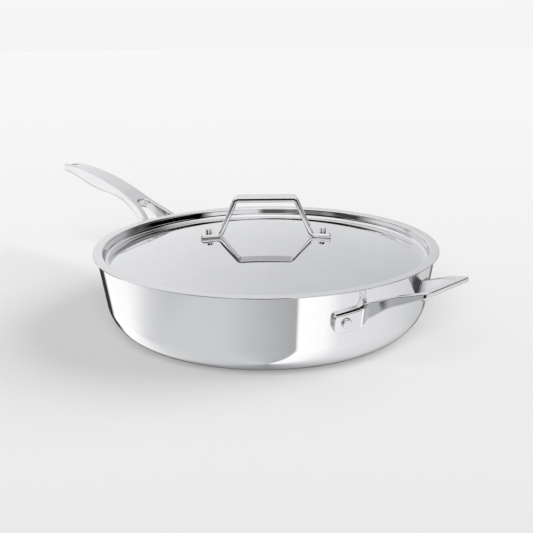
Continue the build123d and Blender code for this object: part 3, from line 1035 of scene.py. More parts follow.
@dataclass
class WallHandle(Piece):
    """A cast handle that stands on the wall on two pads: rails of the half at y of 0 or more, from a pad."""

    bowl: BowlSizes
    pads: PadSizes
    rivet_angle: float
    rivet_drop: float

    @property
    def rivet_height(self) -> float:
        """Height of the rivets above the base."""
        return self.bowl.height - self.rivet_drop

    @property
    def pad_radius(self) -> float:
        """Radius of the pads' outer face at the rivets."""
        return self.bowl.radius_at(self.rivet_height, self.pads.seat_gap + self.pads.thickness)

    @property
    def seat_radius(self) -> float:
        """Radius of the pads' seat at the rivets."""
        return self.bowl.radius_at(self.rivet_height, self.pads.seat_gap)

    @abc.abstractmethod
    def heights(self, upper: bool) -> HeightLine:
        """Height of the arm's top or bottom line as a function of the distance from the pan's axis."""

    def edge(self, upper: bool, share: Array, wall_along: Array, root: float) -> HeightLine:
        """Height of the handle's top or bottom, which is share * pad + (1 - share) * arm at a station.

        Args:
            upper: Whether this is the top.
            share: Share of the pad at each station.
            wall_along: Distance of each station along the wall from the rivet.
            root: The same distance where the arm begins.

        Returns:
            Function that gives the height at plan points of every station, (n, m, 2).
        """
        arm = self.heights(upper)
        flare = math.cos(math.radians(self.bowl.flare))
        pad = self.rivet_height + self.pads.end_line(wall_along, root + self.pads.root_margin, upper) * flare
        return lambda plan: share[:, None] * pad[:, None] + (1 - share[:, None]) * arm(plan[:, :, 0])

    def seat_bend(self, start: Array, end: Array) -> Array:
        """Stations on the seat's circle, from one point to another, beside the bend of the outer face."""
        angle = np.linspace(math.atan2(start[1], start[0]), math.atan2(end[1], end[0]), BEND_COUNT)
        return self.seat_radius * np.stack([np.cos(angle), np.sin(angle)], axis=1)

    def pad_arcs(self, corner: Array) -> tuple[Array, Array, Array]:
        """Outer and inner rails of a pad up to where its outer face starts to bend into the arm.

        Both follow circles about the axis, and the outer one is rounded down to the wall at the pad's end.

        Args:
            corner: Where the pad's outer face would meet the arm's outer side.

        Returns:
            Outer rail, inner rail, and the distance along the wall from the rivet at each station.
        """
        pads = self.pads
        wall = self.bowl.radius_at(self.rivet_height)
        corner_angle = math.atan2(corner[1], corner[0])
        bend_start = wall * (math.radians(self.rivet_angle) - corner_angle) - pads.bend_reach
        rounding = pads.edge_round * (1 - np.cos(np.linspace(0, math.pi / 2, pads.round_count)))
        body = np.linspace(0, 1, pads.body_count) ** pads.body_crowding
        along = -pads.end_reach + np.concatenate(
            [rounding[:-1], pads.edge_round + body * (bend_start + pads.end_reach - pads.edge_round)])
        angle = math.radians(self.rivet_angle) - along / wall
        in_round = np.maximum(pads.edge_round - (along + pads.end_reach), 0)
        sunk = pads.edge_round - np.sqrt(pads.edge_round ** 2 - in_round ** 2)
        ray = np.stack([np.cos(angle), np.sin(angle)], axis=1)
        return ray * (self.pad_radius - sunk)[:, None], ray * self.seat_radius, along

    def leaned(self, loops: Array, weight: Array) -> Array:
        """Rows moved in or out with the wall's flare: radially by weight * (z - rivet height) * slope.

        Args:
            loops: Rows around each station, (stations, rows, 3).
            weight: How far each station follows the flare, from 0 to 1.

        Returns:
            The moved rows.
        """
        shift = weight[:, None] * (loops[:, :, 2] - self.rivet_height) * self.bowl.slope
        radius = np.linalg.norm(loops[:, :, :2], axis=2)
        leaned = loops.copy()
        leaned[:, :, :2] *= ((radius + shift) / radius)[:, :, None]
        return leaned


@dataclass(frozen=True)
class LoopSizes:
    """The helper handle's loop, reaches and heights from the rim."""

    reach: float = 43.6
    bar_width: float = 9.6
    bar_half_length: float = 28.5
    bar_top: float = 5.2
    bar_bottom: float = 1.2
    upper_knee_back: float = 23.6
    upper_knee_height: float = -1.3
    lower_knee_back: float = 29.1
    lower_knee_height: float = -11.4
    knee_radius: float = 50.0
    root_reach: float = -20.8
    root_half_width: float = 42.0
    root_top: float = -16.9
    root_bottom: float = -37.3
    root_thickness: float = 5.2
    gap_half_length: float = 24.0
    arm_bow: float = 3.5
    outer_corner: float = 7.5
    inner_corner: float = 5.0
    edge_round: float = 0.9


@dataclass
class HelperHandle(WallHandle):
    """The loop handle opposite the long one."""

    loop: LoopSizes = field(default_factory=LoopSizes)

    def arm_circle(self, root_half_width: float, tip: tuple[float, float]) -> tuple[Array, float]:
        """Centre and radius of an arm side's arc, from its chord and its bow: R = (c^2 / 4 + b^2) / 2b.

        Args:
            root_half_width: Distance from y = 0 of the arc's start.
            tip: End of the arc.

        Returns:
            Centre and radius.
        """
        start = np.array([self.bowl.rim_radius + self.loop.root_reach, root_half_width])
        chord = np.asarray(tip) - start
        length, bow = float(np.linalg.norm(chord)), self.loop.arm_bow
        radius = (length ** 2 / 4 + bow ** 2) / (2 * bow)
        aside = np.array([-chord[1], chord[0]]) / length
        return start + chord / 2 + aside * (bow - radius), radius

    def arm_rail(self, centre: Array, radius: float, start: Array, bar: float, corner: float,
                 count: int) -> tuple[Array, Array, Array]:
        """One side of the arm, the corner round to the bar, and the bar's side to y = 0.

        The corner's centre is a corner radius from the bar's side and from the arm's arc, inside it.

        Args:
            centre: Centre of the arm side's arc.
            radius: Its radius.
            start: Where the arm side starts.
            bar: Place along X of the bar's side.
            corner: Radius of the corner.
            count: Number of points of the arm.

        Returns:
            The three runs.
        """
        middle_x = bar - corner
        above = math.sqrt((radius - corner) ** 2 - (middle_x - centre[0]) ** 2)
        middle = np.array([middle_x, centre[1] + above])
        out = (middle - centre) / np.linalg.norm(middle - centre)
        turn = math.degrees(math.atan2(out[1], out[0]))
        first = math.degrees(math.atan2(start[1] - centre[1], start[0] - centre[0]))
        arm = arc(tuple(centre), radius, first, turn, count)
        round_run = arc(tuple(middle), corner, turn, 0, 16)
        return arm, round_run, line((bar, middle[1]), (bar, 0), 16)

    def heights(self, upper: bool) -> HeightLine:
        """Height of the arm's top or bottom line: two straight runs with a rounded knee.

        Args:
            upper: Whether this is the top line.

        Returns:
            Height as a function of the distance from the pan's axis.
        """
        loop, rim = self.loop, self.bowl.height
        tip = self.bowl.rim_radius + loop.reach
        root, back, knee, end = (
            (loop.root_top, loop.upper_knee_back, loop.upper_knee_height, loop.bar_top) if upper
            else (loop.root_bottom, loop.lower_knee_back, loop.lower_knee_height, loop.bar_bottom))
        path = joined(*rounded_runs([(self.bowl.rim_radius + loop.root_reach, rim + root),
                                     (tip - back, rim + knee), (tip, rim + end)],
                                    [loop.knee_radius], [40, 24, 12]))
        return lambda place: np.interp(place, path[:, 0], path[:, 1])

    def mesh(self) -> Surface:
        """Half the loop from its pad to the middle of the bar, and its mirror image, as one bar.

        Returns:
            The closed surface.
        """
        loop, pads = self.loop, self.pads
        tip = self.bowl.rim_radius + loop.reach
        gap_end = tip - loop.bar_width
        outer_centre, outer_radius = self.arm_circle(loop.root_half_width, (tip, loop.bar_half_length))
        inner_centre, inner_radius = self.arm_circle(loop.root_half_width - loop.root_thickness,
                                                     (gap_end, loop.gap_half_length))
        corner = circles_meet((0, 0), self.pad_radius, tuple(outer_centre), outer_radius)
        inner_corner = circles_meet((0, 0), self.seat_radius, tuple(inner_centre), inner_radius)
        pad_outer, pad_inner, along = self.pad_arcs(corner)
        away = math.atan2(*(corner - outer_centre)[::-1]) - pads.bend_reach / outer_radius
        arm_start = outer_centre + outer_radius * np.array([math.cos(away), math.sin(away)])
        bend = conic(pad_outer[-1], corner, arm_start, BEND_COUNT)
        bend_inner = self.seat_bend(pad_inner[-1], inner_corner)
        outer_runs = self.arm_rail(outer_centre, outer_radius, arm_start, tip, loop.outer_corner, 48)
        inner_runs = self.arm_rail(inner_centre, inner_radius, inner_corner, gap_end, loop.inner_corner, 48)
        outer_half = joined(pad_outer, bend, *outer_runs)
        inner_half = joined(pad_inner, bend_inner, *inner_runs)
        arm_start_station = len(along) + BEND_COUNT - 1
        arm_stations = len(outer_half) - arm_start_station
        pad_share = np.concatenate([np.ones(len(along)), 1 - ease(np.linspace(0, 1, BEND_COUNT))[1:],
                                    np.zeros(arm_stations)])
        lean = np.concatenate([np.ones(arm_start_station), 1 - ease(np.linspace(0, 4, arm_stations))])
        root = along[-1] + pads.bend_reach
        wall_along = np.concatenate([along, np.linspace(along[-1], root, BEND_COUNT)[1:],
                                     np.full(arm_stations, root)])
        flip = np.array([1, -1])
        outer = np.concatenate([outer_half, outer_half[-2::-1] * flip])
        inner = np.concatenate([inner_half, inner_half[-2::-1] * flip])
        share, along_all, lean_all = (np.concatenate([a, a[-2::-1]]) for a in (pad_share, wall_along, lean))
        outer_round = share * pads.edge_round + (1 - share) * loop.edge_round
        inner_round = np.clip((1 - lean_all) * loop.edge_round, LEAST_ROUND, None)
        ribbon = Ribbon(outer, inner, plan_normals(outer, True), plan_normals(inner, False),
                        self.edge(True, share, along_all, root), self.edge(False, share, along_all, root),
                        outer_round, outer_round, inner_round, inner_round)
        return skinned(self.leaned(ribbon.loops(), lean_all), Ends.CAPPED)


@dataclass(frozen=True)
class BarSizes:
    """The long handle's bar; reach and rise are from the rim, shares run along the reach."""

    reach: float = 198.7
    rise: float = 38.7
    half_width: float = 10.4
    tip_half_width: float = 8.3
    tip_radius: float = 7.0
    root_half_width: float = 24.5
    fork_thickness: float = 5.6
    crotch_radius: float = 6.0
    crotch_share: float = 0.222
    slot_share: float = 0.20
    slot_lean: float = 25.0
    slot_fade: float = 30.0
    top_round: float = 1.1
    low_round: float = 2.0
    hole_radius: float = 4.25
    hole_inset: float = 18.0
    fork_count: int = 40
    lean_count: int = 20
    hole_count: int = 33
    top_shares: tuple[tuple[float, float], ...] = (
        (-0.08, -0.39), (0.0, -0.13), (0.11, 0.13), (0.22, 0.35), (0.34, 0.565), (0.46, 0.725),
        (0.58, 0.85), (0.72, 0.945), (0.86, 1.0), (1.0, 0.965))
    low_shares: tuple[tuple[float, float], ...] = (
        (-0.08, -1.0), (0.0, -0.73), (0.11, -0.30), (0.22, 0.045), (0.34, 0.29), (0.44, 0.37),
        (0.58, 0.43), (0.72, 0.545), (0.86, 0.70), (1.0, 0.80))
    side_shares: tuple[tuple[float, float, float], ...] = (
        (-0.08, 1.32, 0.0), (0.0, 0.97, 0.0), (0.05, 0.72, 0.0), (0.11, 0.45, 0.0), (0.16, 0.28, 0.0),
        (0.20, 0.18, 0.0), (0.26, 0.09, 0.0), (0.34, 0.02, 0.0), (0.44, 0.0, 0.0), (0.56, 0.0, 0.06),
        (0.70, 0.0, 0.45), (0.85, 0.0, 0.95), (1.0, 0.0, 1.0))


@dataclass
class LongHandle(WallHandle):
    """The long handle with its fork, waist, belly and hang hole, worked out along +X and turned to -X."""

    bar: BarSizes = field(default_factory=BarSizes)

    def side(self) -> HeightLine:
        """Half width of the bar, a spline through its shares.

        Returns:
            Half width as a function of the distance from the pan's axis.
        """
        bar = self.bar
        shares = np.array(bar.side_shares)
        widths = (bar.half_width + shares[:, 1] * (bar.root_half_width - bar.half_width)
                  - shares[:, 2] * (bar.half_width - bar.tip_half_width))
        return smooth_line(self.bowl.rim_radius + shares[:, 0] * bar.reach, widths)

    def heights(self, upper: bool) -> HeightLine:
        """Height of the bar's top or bottom line, a spline through its shares.

        Args:
            upper: Whether this is the top line.

        Returns:
            Height as a function of the distance from the pan's axis.
        """
        shares = np.array(self.bar.top_shares if upper else self.bar.low_shares)
        return smooth_line(self.bowl.rim_radius + shares[:, 0] * self.bar.reach,
                           self.bowl.height + shares[:, 1] * self.bar.rise)

    def meets_wall(self, radius: float, inset: float) -> Array:
        """Where the bar's side, moved in by an inset, crosses a circle about the axis, by bisection.

        Args:
            radius: Radius of the circle.
            inset: Distance between the side and the line that is followed.

        Returns:
            The crossing in plan.
        """
        side, low, high = self.side(), radius - 12, radius
        for _ in range(40):
            middle = (low + high) / 2
            beyond = math.hypot(middle, float(side(np.array([middle]))[0]) - inset) > radius
            low, high = (low, middle) if beyond else (middle, high)
        return np.array([low, float(side(np.array([low]))[0]) - inset])

    def rails(self) -> tuple[Array, Array, Array, dict[str, int]]:
        """Outer and inner rails of the half at y of 0 or more, and the distance along the wall.

        The stations run over the pad, its bend into the fork arm, the fork, the crotch, the shaft, the
        hang hole and the tip. Beyond the crotch the inner rail lies on y = 0, except around the hole.

        Returns:
            Outer rail, inner rail, distances along the wall at the pad's stations, and the first station
            of each stretch.
        """
        bar, side = self.bar, self.side()
        corner = self.meets_wall(self.pad_radius, 0.0)
        inner_corner = self.meets_wall(self.seat_radius, bar.fork_thickness)
        pad_outer, pad_inner, along = self.pad_arcs(corner)
        fork_start = corner[0] + self.pads.bend_reach * 0.95
        bend_end = np.array([fork_start, side(np.array([fork_start]))[0]])
        bend = conic(pad_outer[-1], corner, bend_end, BEND_COUNT)
        bend_inner = self.seat_bend(pad_inner[-1], inner_corner)
        crotch = self.bowl.rim_radius + bar.crotch_share * bar.reach
        flat_start = self.bowl.rim_radius + bar.slot_share * bar.reach
        squash = math.cos(math.radians(bar.slot_lean))
        round_start = crotch - bar.crotch_radius * squash
        fork_x = np.linspace(fork_start, round_start, bar.fork_count)
        fork_inner_x = np.linspace(inner_corner[0], round_start, bar.fork_count)
        fork = np.stack([fork_x, side(fork_x)], axis=1)
        fork_inner_y = side(np.minimum(fork_inner_x, flat_start)) - bar.fork_thickness
        fork_inner = np.stack([fork_inner_x, fork_inner_y], axis=1)
        round_top = fork_inner[-1, 1]
        crotch_round = arc((0, round_top - bar.crotch_radius), bar.crotch_radius, 90, 0, 14)
        crotch_round[:, 0] = round_start + crotch_round[:, 0] * squash
        crotch_flat = line((crotch, round_top - bar.crotch_radius), (crotch, 0), 5)
        crotch_inner = joined(crotch_round, crotch_flat)
        crotch_x = np.linspace(round_start, crotch + 1.5, len(crotch_inner))
        hole = self.bowl.rim_radius + bar.reach - bar.hole_inset
        tip = self.bowl.rim_radius + bar.reach
        shaft_x = np.linspace(crotch + 2.2, hole - bar.hole_radius - 1.0, 96)
        hole_inner = arc((hole, 0), bar.hole_radius, 180, 0, bar.hole_count)
        hole_x = np.linspace(hole - bar.hole_radius - 0.4, hole + bar.hole_radius + 0.4, bar.hole_count)
        end_x = np.linspace(hole + bar.hole_radius + 1.0, tip - bar.tip_radius, 12)
        last_width = float(side(np.array([tip - bar.tip_radius]))[0])
        tip_round = arc((tip - bar.tip_radius, last_width - bar.tip_radius), bar.tip_radius, 90, 0, 18)
        tip_flat = line((tip, last_width - bar.tip_radius), (tip, 0), 6)
        tip_outer = joined(tip_round, tip_flat)
        tip_inner_x = np.linspace(end_x[-1], tip - 4.5, len(tip_outer))
        outer_x = [crotch_x, shaft_x, hole_x, end_x]
        outer = joined(pad_outer, bend, fork, *[np.stack([x, side(x)], axis=1) for x in outer_x], tip_outer)
        inner = joined(pad_inner, bend_inner, fork_inner, crotch_inner,
                       np.stack([shaft_x, 0 * shaft_x], axis=1), hole_inner,
                       np.stack([end_x, 0 * end_x], axis=1), np.stack([tip_inner_x, 0 * tip_inner_x], axis=1))
        starts = {"bend": len(along), "fork": len(along) + BEND_COUNT - 1}
        starts["shaft"] = starts["fork"] + bar.fork_count - 1 + len(crotch_inner) - 1
        starts["hole"] = starts["shaft"] + len(shaft_x)
        starts["end"] = starts["hole"] + len(hole_inner)
        return outer, inner, along, starts

    def slot_shift(self, place: Array) -> Array:
        """How far the lower end of the fork's slot lies beyond its upper end, square to the bar there.

        The shift is the bar's depth times the tangent of the lean at the crotch, and eases to nothing
        a crotch radius before it and a fading length after it.

        Args:
            place: Distance of each station from the pan's axis.

        Returns:
            Shifts in plan, (n, 2).
        """
        bar = self.bar
        crotch = self.bowl.rim_radius + bar.crotch_share * bar.reach
        depth = float((self.heights(True)(np.array([crotch])) - self.heights(False)(np.array([crotch])))[0])
        before = ease((place - crotch + 3 * bar.crotch_radius) / (2 * bar.crotch_radius))
        after = 1 - ease((place - crotch) / bar.slot_fade)
        shift = depth * math.tan(math.radians(bar.slot_lean)) * before * after
        return np.stack([shift, 0 * shift], axis=1)

    def mesh(self) -> Surface:
        """Half the handle as a bar between its rails, joined to its mirror image and turned to -X.

        Returns:
            The closed surface.
        """
        bar, pads = self.bar, self.pads
        outer, inner, along, starts = self.rails()
        stations = len(outer)
        LOG.info("long handle rails: %d and %d", stations, len(inner))
        share, lean = np.zeros(stations), np.zeros(stations)
        share[:starts["bend"]] = 1
        share[starts["bend"] - 1:starts["fork"]] = 1 - ease(np.linspace(0, 1, BEND_COUNT))
        lean[:starts["fork"]] = 1
        lean[starts["fork"]:starts["fork"] + bar.lean_count] = 1 - ease(np.linspace(0, 1, bar.lean_count))
        root = along[-1] + pads.bend_reach
        wall_along = np.full(stations, root)
        wall_along[:len(along)] = along
        wall_along[starts["bend"] - 1:starts["fork"]] = np.linspace(along[-1], root, BEND_COUNT)
        inner_normals = plan_normals(inner, False)
        flat = np.zeros(stations, dtype=bool)
        flat[starts["shaft"]:starts["hole"]] = True
        flat[starts["end"]:] = True
        inner_normals[flat] = 0
        inner_normals[starts["shaft"] - 1] = (-1, 0)
        inner_normals[starts["hole"]] = (1, 0)
        inner_normals[starts["end"] - 1] = (-1, 0)
        outer_normals = plan_normals(outer, True)
        outer_normals[-1] = (1, 0)
        inner_round = np.clip((1 - lean) * bar.top_round, LEAST_ROUND, None)
        ribbon = Ribbon(outer, inner, outer_normals, inner_normals,
                        self.edge(True, share, wall_along, root), self.edge(False, share, wall_along, root),
                        share * pads.edge_round + (1 - share) * bar.top_round,
                        share * pads.edge_round + (1 - share) * bar.low_round, inner_round, inner_round,
                        self.slot_shift(inner[:, 0]))
        loops = self.leaned(ribbon.loops(), lean)
        whole = mirrored_half(skinned(loops, Ends.START_CAPPED))
        return Surface(whole.points * np.array([-1, 1, 1]), whole.faces)


@dataclass
class Rivet(Piece):
    """A rivet turned about its own axis: a head, a shank and a second head."""

    centre: Array
    axis: Array
    profile: Array
    segments: int = 64

    def mesh(self) -> Surface:
        """The profile turned about Z, then stood on its centre along its axis."""
        up = self.axis / np.linalg.norm(self.axis)
        aside = np.cross(up, (0, 0, 1)) if abs(up[2]) < 0.9 else np.array([1.0, 0, 0])
        aside = aside / np.linalg.norm(aside)
        turn = np.stack([aside, np.cross(up, aside), up], axis=1)
        return revolved(self.profile, self.segments).placed(turn, self.centre)


@dataclass(frozen=True)
class RivetSizes:
    """A rivet: each head's radius, height and edge round, the shank's radius and the heads' gap."""

    tail: tuple[float, float, float]
    shank: float
    head: tuple[float, float, float]
    gap: float = 0.15
    seat_round: float = 0.15
    neck_round: float = 0.05

    def profile(self, tail_start: float, head_start: float) -> Array:
        """Profile of the rivet from the middle of its tail to the middle of its head.

        Args:
            tail_start: Height of the tail's outer face.
            head_start: Height of the head's seat.

        Returns:
            Points (radius, height).
        """
        tail_radius, tail_height, tail_round = self.tail
        head_radius, head_height, head_round = self.head
        runs = rounded_runs([(0, tail_start), (tail_radius, tail_start),
                             (tail_radius, tail_start + tail_height), (self.shank, tail_start + tail_height),
                             (self.shank, head_start), (head_radius, head_start),
                             (head_radius, head_start + head_height), (0, head_start + head_height)],
                            [tail_round, self.seat_round, self.neck_round, self.neck_round, self.seat_round,
                             head_round],
                            [10, 8, 8, 4, 8, 3, 8, 3, 8, 4, 8, 8, 10])
        return joined(*runs)


# Assemblies


@dataclass
class Pan:
    """The bowl with its skins, both handles and their rivets.

    A place is the angle of a handle's rivets from its middle, in degrees, and their drop below the rim.
    """

    bowl: BowlSizes
    pads: PadSizes
    mirror: bpy.types.Material
    satin: bpy.types.Material
    cast: bpy.types.Material
    pin: bpy.types.Material
    core: bpy.types.Material
    rivet: RivetSizes = RivetSizes((6.0, 1.8, 1.1), 2.6, (4.2, 1.9, 1.2))
    helper_place: tuple[float, float] = (21.2, 24.0)
    long_place: tuple[float, float] = (15.0, 22.0)

    def rivets(self, handle: str, angle: float, drop: float, mirror_x: bool) -> list[Rivet]:
        """Both rivets of a handle, their axes square to the flared wall.

        Args:
            handle: Name of the handle's node.
            angle: Angle of the rivets from the handle's middle.
            drop: Their distance below the rim.
            mirror_x: Whether the handle is on the -X side.

        Returns:
            The rivets.
        """
        height = self.bowl.height - drop
        radius = self.bowl.radius_at(height)
        inside = self.bowl.radius_at(height, -self.bowl.wall_thickness)
        tail_radius, tail_height = self.rivet.tail[:2]
        sunk = math.sqrt(inside ** 2 - tail_radius ** 2)
        depth = self.bowl.wall_thickness + self.rivet.gap + inside - sunk + tail_height
        profile = self.rivet.profile(-depth, self.pads.seat_gap + self.pads.thickness + self.rivet.gap)
        flare = math.radians(self.bowl.flare)
        made = []
        for side, sign in (("left", 1), ("right", -1)):
            turn = math.radians((180 - angle if mirror_x else angle) * sign)
            centre = np.array([radius * math.cos(turn), radius * math.sin(turn), height])
            axis = np.array([math.cos(flare) * math.cos(turn), math.cos(flare) * math.sin(turn),
                             -math.sin(flare)])
            node = f"{handle}_rivet_{side}"
            made.append(Rivet(f"{node}_dressed", "pan", (node,), "rivet_steel", self.pin, centre, axis,
                              profile))
        return made

    def build(self) -> None:
        """Dresses every piece of the pan, and gives the core's own node its material."""
        skin, wall = self.bowl.skin_thickness, self.bowl.wall_thickness
        BowlSkin("bowl_outside", "pan", ("outer_cladding",), "polished_steel", self.mirror, self.bowl,
                 0.0, skin).dress()
        BowlSkin("bowl_inside", "pan", ("inner_lining",), "satin_steel", self.satin, self.bowl,
                 wall - skin, wall).dress()
        HelperHandle("helper_handle_dressed", "pan", ("helper_handle",), "cast_steel", self.cast, self.bowl,
                     self.pads, *self.helper_place).dress()
        LongHandle("long_handle_dressed", "pan", ("long_handle",), "cast_steel", self.cast, self.bowl,
                   self.pads, *self.long_place).dress()
        for rivet in (self.rivets("helper_handle", *self.helper_place, False)
                      + self.rivets("long_handle", *self.long_place, True)):
            rivet.dress()
        node = bpy.data.objects["aluminium_core"]
        node.data.materials.clear()
        node.data.materials.append(self.core)


@dataclass
class LidAssembly:
    """The lid sheet, its strap handle and their rivets."""

    lid: LidSizes
    strap: StrapSizes
    sheet: bpy.types.Material
    band: bpy.types.Material
    pin: bpy.types.Material
    rivet: RivetSizes = RivetSizes((5.0, 1.8, 0.8), 2.0, (3.0, 4.1, 0.6))
    rivet_inset: float = 7.2

    def build(self) -> None:
        """Dresses every piece of the lid."""
        LidSheet("lid_dressed", "lid", ("lid",), "lid_steel", self.sheet, self.lid).dress()
        LidStrap("lid_strap", "lid", ("lid_handle",), "strap_steel", self.band, self.lid, self.strap).dress()
        reach = self.strap.foot_reach() - self.rivet_inset
        tail_start = self.lid.panel_height(reach, self.lid.thickness) - self.rivet.gap - self.rivet.tail[1]
        head_start = self.lid.flange_top + self.strap.foot_height + self.rivet.gap
        profile = self.rivet.profile(tail_start, head_start)
        along, _ = self.strap.axes()
        for side, sign in (("left", 1), ("right", -1)):
            node = f"lid_handle_rivet_{side}"
            Rivet(f"{node}_dressed", "lid", (node,), "rivet_steel", self.pin, along * reach * sign,
                  np.array([0.0, 0.0, 1.0]), profile).dress()


# Studio


def grey_stops(tones: Sequence[tuple[float, float]]) -> list[tuple[float, Colour]]:
    """Ramp stops from 0 to 1 for a row of (place, display level)."""
    low, high = tones[0][0], tones[-1][0]
    return [((place - low) / (high - low), (shade(level),) * 3 + (1.0,)) for place, level in tones]


@dataclass(frozen=True)
class Sweep:
    """The studio's smooth light around one elevation, as stops of (azimuth, display level)."""

    elevation: float
    stops: tuple[tuple[float, float], ...]


@dataclass(frozen=True)
class Panel:
    """A soft-edged patch of light or dark; the softness is how far it fades beyond each span."""

    name: str
    azimuths: tuple[float, float]
    elevations: tuple[float, float]
    softness: tuple[float, float]
    level: float


@dataclass(frozen=True)
class StudioLight:
    """A plain soft studio: an even backdrop, and sweeps and panels that only the gloss sees.

    Angles are degrees. Azimuth 0 is towards the camera and 90 is to its right. The sweeps are the
    smooth light of floor, walls and ceiling, and each panel lies over all that comes before it.
    """

    camera_azimuth: float = -44.12
    reflectance: float = 0.78
    blue: float = 0.015
    fill: float = 0.36
    backdrop: tuple[tuple[float, float], ...] = (
        (-20.0, 236), (-3.0, 243), (0.0, 245), (1.5, 245), (4.0, 248))
    sweeps: tuple[Sweep, ...] = (
        Sweep(-80.0, ((-180, 145), (-110, 195), (-30, 200), (20, 170), (23, 250), (50, 250), (110, 210),
                      (180, 145))),
        Sweep(-52.0, ((-180, 130), (-160, 150), (-140, 210), (-30, 200), (21, 170), (23, 255), (42, 250),
                      (70, 220), (130, 210), (150, 190), (180, 130))),
        Sweep(-34.0, ((-180, 200), (-156, 245), (-122, 255), (-98, 205), (-30, 200), (21, 165),
                      (23, 255), (42, 250), (54, 225), (110, 215), (150, 190), (180, 200))),
        Sweep(-27.0, ((-180, 205), (-144, 250), (-115, 250), (-98, 235), (-70, 170), (20, 165),
                      (30, 235), (60, 220), (110, 210), (150, 180), (180, 205))),
        Sweep(-13.0, ((-180, 205), (-144, 240), (-95, 238), (-78, 190), (-20, 170), (18, 175), (70, 215),
                      (90, 215), (140, 200), (180, 205))),
        Sweep(9.5, ((-180, 210), (-165, 220), (-142, 220), (-90, 240), (21, 240), (90, 205), (142, 180),
                    (165, 200), (180, 210))),
        Sweep(31.0, ((-180, 207), (-165, 215), (-145, 230), (-5, 230), (45, 245), (90, 220), (145, 185),
                     (180, 205))),
        Sweep(45.0, ((-180, 200), (-130, 230), (0, 240), (60, 240), (90, 215), (146, 190), (180, 200))),
        Sweep(60.0, ((-180, 200), (-130, 225), (0, 240), (90, 225), (140, 150), (180, 200))),
        Sweep(80.0, ((-180, 250), (180, 250))),
    )
    panels: tuple[Panel, ...] = (
        Panel("dark_back", (154, 214), (-28, -15), (5, 3), 50),
        Panel("dim_back_low", (160, 172), (-38, -26), (14, 18), 148),
        Panel("dark_back_low", (169.5, 197.5), (-38, -26), (6.5, 18), 80),
        Panel("middle_beam", (-48, -6), (30.5, 37), (12, 6), 125),
        Panel("middle_beam_end", (-14, 2), (32, 39), (6, 5), 95),
        Panel("left_beam", (-82, -62), (28, 34), (17, 9), 68),
        Panel("left_ceiling_rim", (-90, -9), (25, 27.5), (13, 3), 20),
        Panel("right_end", (106, 122), (10.5, 25), (17, 4), 60),
        Panel("right_beam_end", (110, 134), (30, 46), (11, 9), 40),
        Panel("right_ceiling_corner", (57, 107), (25, 38), (11, 6.5), 5),
        Panel("left_cheek", (-60, -28), (-4, 11), (8, 8), 15),
        Panel("right_cheek", (28, 56), (-9, 11), (9, 3.5), 18),
        Panel("right_grey", (92, 151), (-13, 7.5), (8, 4), 135),
        Panel("ceiling_edge", (-115, 101), (11.5, 19), (11, 2), 5),
        Panel("ceiling_edge_far", (-94, 104), (18, 25.5), (14, 3), 5),
        Panel("front_opening", (-20, 20), (1, 17), (6, 2), 245),
        Panel("camera_side", (-14, 12.5), (-23, -4), (4, 6), 15),
        Panel("pillar", (-50, -16), (-24, -22.5), (6, 3), 45),
        Panel("left_rail", (-127, -110), (-19.5, -16), (7, 3), 20),
        Panel("left_corner", (-138, -113), (16, 19), (5, 5), 20),
    )

    def light(self, level: float) -> Colour:
        """Light that the steel shows as a display level, a little blue where it is grey."""
        light = shade(level) / self.reflectance
        blue = self.blue * math.sin(math.pi * level / 255)
        return light * (1 - blue), light, light * (1 + blue), 1.0

    def around(self, board: NodeBoard, azimuth: Socket, sweep: Sweep) -> Socket:
        """Colour of a sweep at an azimuth.

        Args:
            board: The world's board.
            azimuth: Azimuth in degrees.
            sweep: The sweep.

        Returns:
            Output of the ramp.
        """
        place = board.stretch(azimuth, -180.0, 180.0, 0.0, 1.0)
        return board.ramp(place, [(stop / 360 + 0.5, self.light(level)) for stop, level in sweep.stops])

    @staticmethod
    def within(board: NodeBoard, angle: Socket, span: tuple[float, float], softness: float) -> Socket:
        """Mask of a span of angles, with the distance from its middle taken the short way round.

        Args:
            board: The world's board.
            angle: Angle in degrees.
            span: First and last angle that the mask covers fully.
            softness: Degrees over which it fades beyond them.

        Returns:
            Output that is 1 within the span and 0 well outside it.
        """
        middle, half = (span[0] + span[1]) / 2, (span[1] - span[0]) / 2
        away = board.maths("WRAP", board.maths("SUBTRACT", angle, middle), 180.0, -180.0)
        return board.stretch(board.maths("ABSOLUTE", away), half, half + softness, 1.0, 0.0)

    def gloss(self, board: NodeBoard) -> tuple[Socket, Socket]:
        """The studio as the gloss sees it: the sweeps run into each other and the panels lie over them.

        Args:
            board: The world's board.

        Returns:
            Colour of the studio and elevation in degrees, both along the ray.
        """
        way = board.add("ShaderNodeTexCoord").outputs["Generated"]
        turned = board.add("ShaderNodeVectorRotate",
                           {"Vector": way, "Axis": (0, 0, 1), "Angle": -math.radians(self.camera_azimuth)},
                           rotation_type="AXIS_ANGLE").outputs[0]
        apart = board.add("ShaderNodeSeparateXYZ", {0: turned})
        azimuth = board.maths("DEGREES", board.maths("ARCTAN2", apart.outputs[1], apart.outputs[0]))
        elevation = board.maths("DEGREES", board.maths("ARCSINE", apart.outputs[2]))
        colour = self.around(board, azimuth, self.sweeps[0])
        for below, above in zip(self.sweeps, self.sweeps[1:]):
            share = board.stretch(elevation, below.elevation, above.elevation, 0.0, 1.0)
            colour = board.mixed(share, colour, self.around(board, azimuth, above))
        for panel in self.panels:
            across = self.within(board, azimuth, panel.azimuths, panel.softness[0])
            upright = self.within(board, elevation, panel.elevations, panel.softness[1])
            colour = board.mixed(board.maths("MULTIPLY", across, upright), colour, self.light(panel.level))
        return colour, elevation

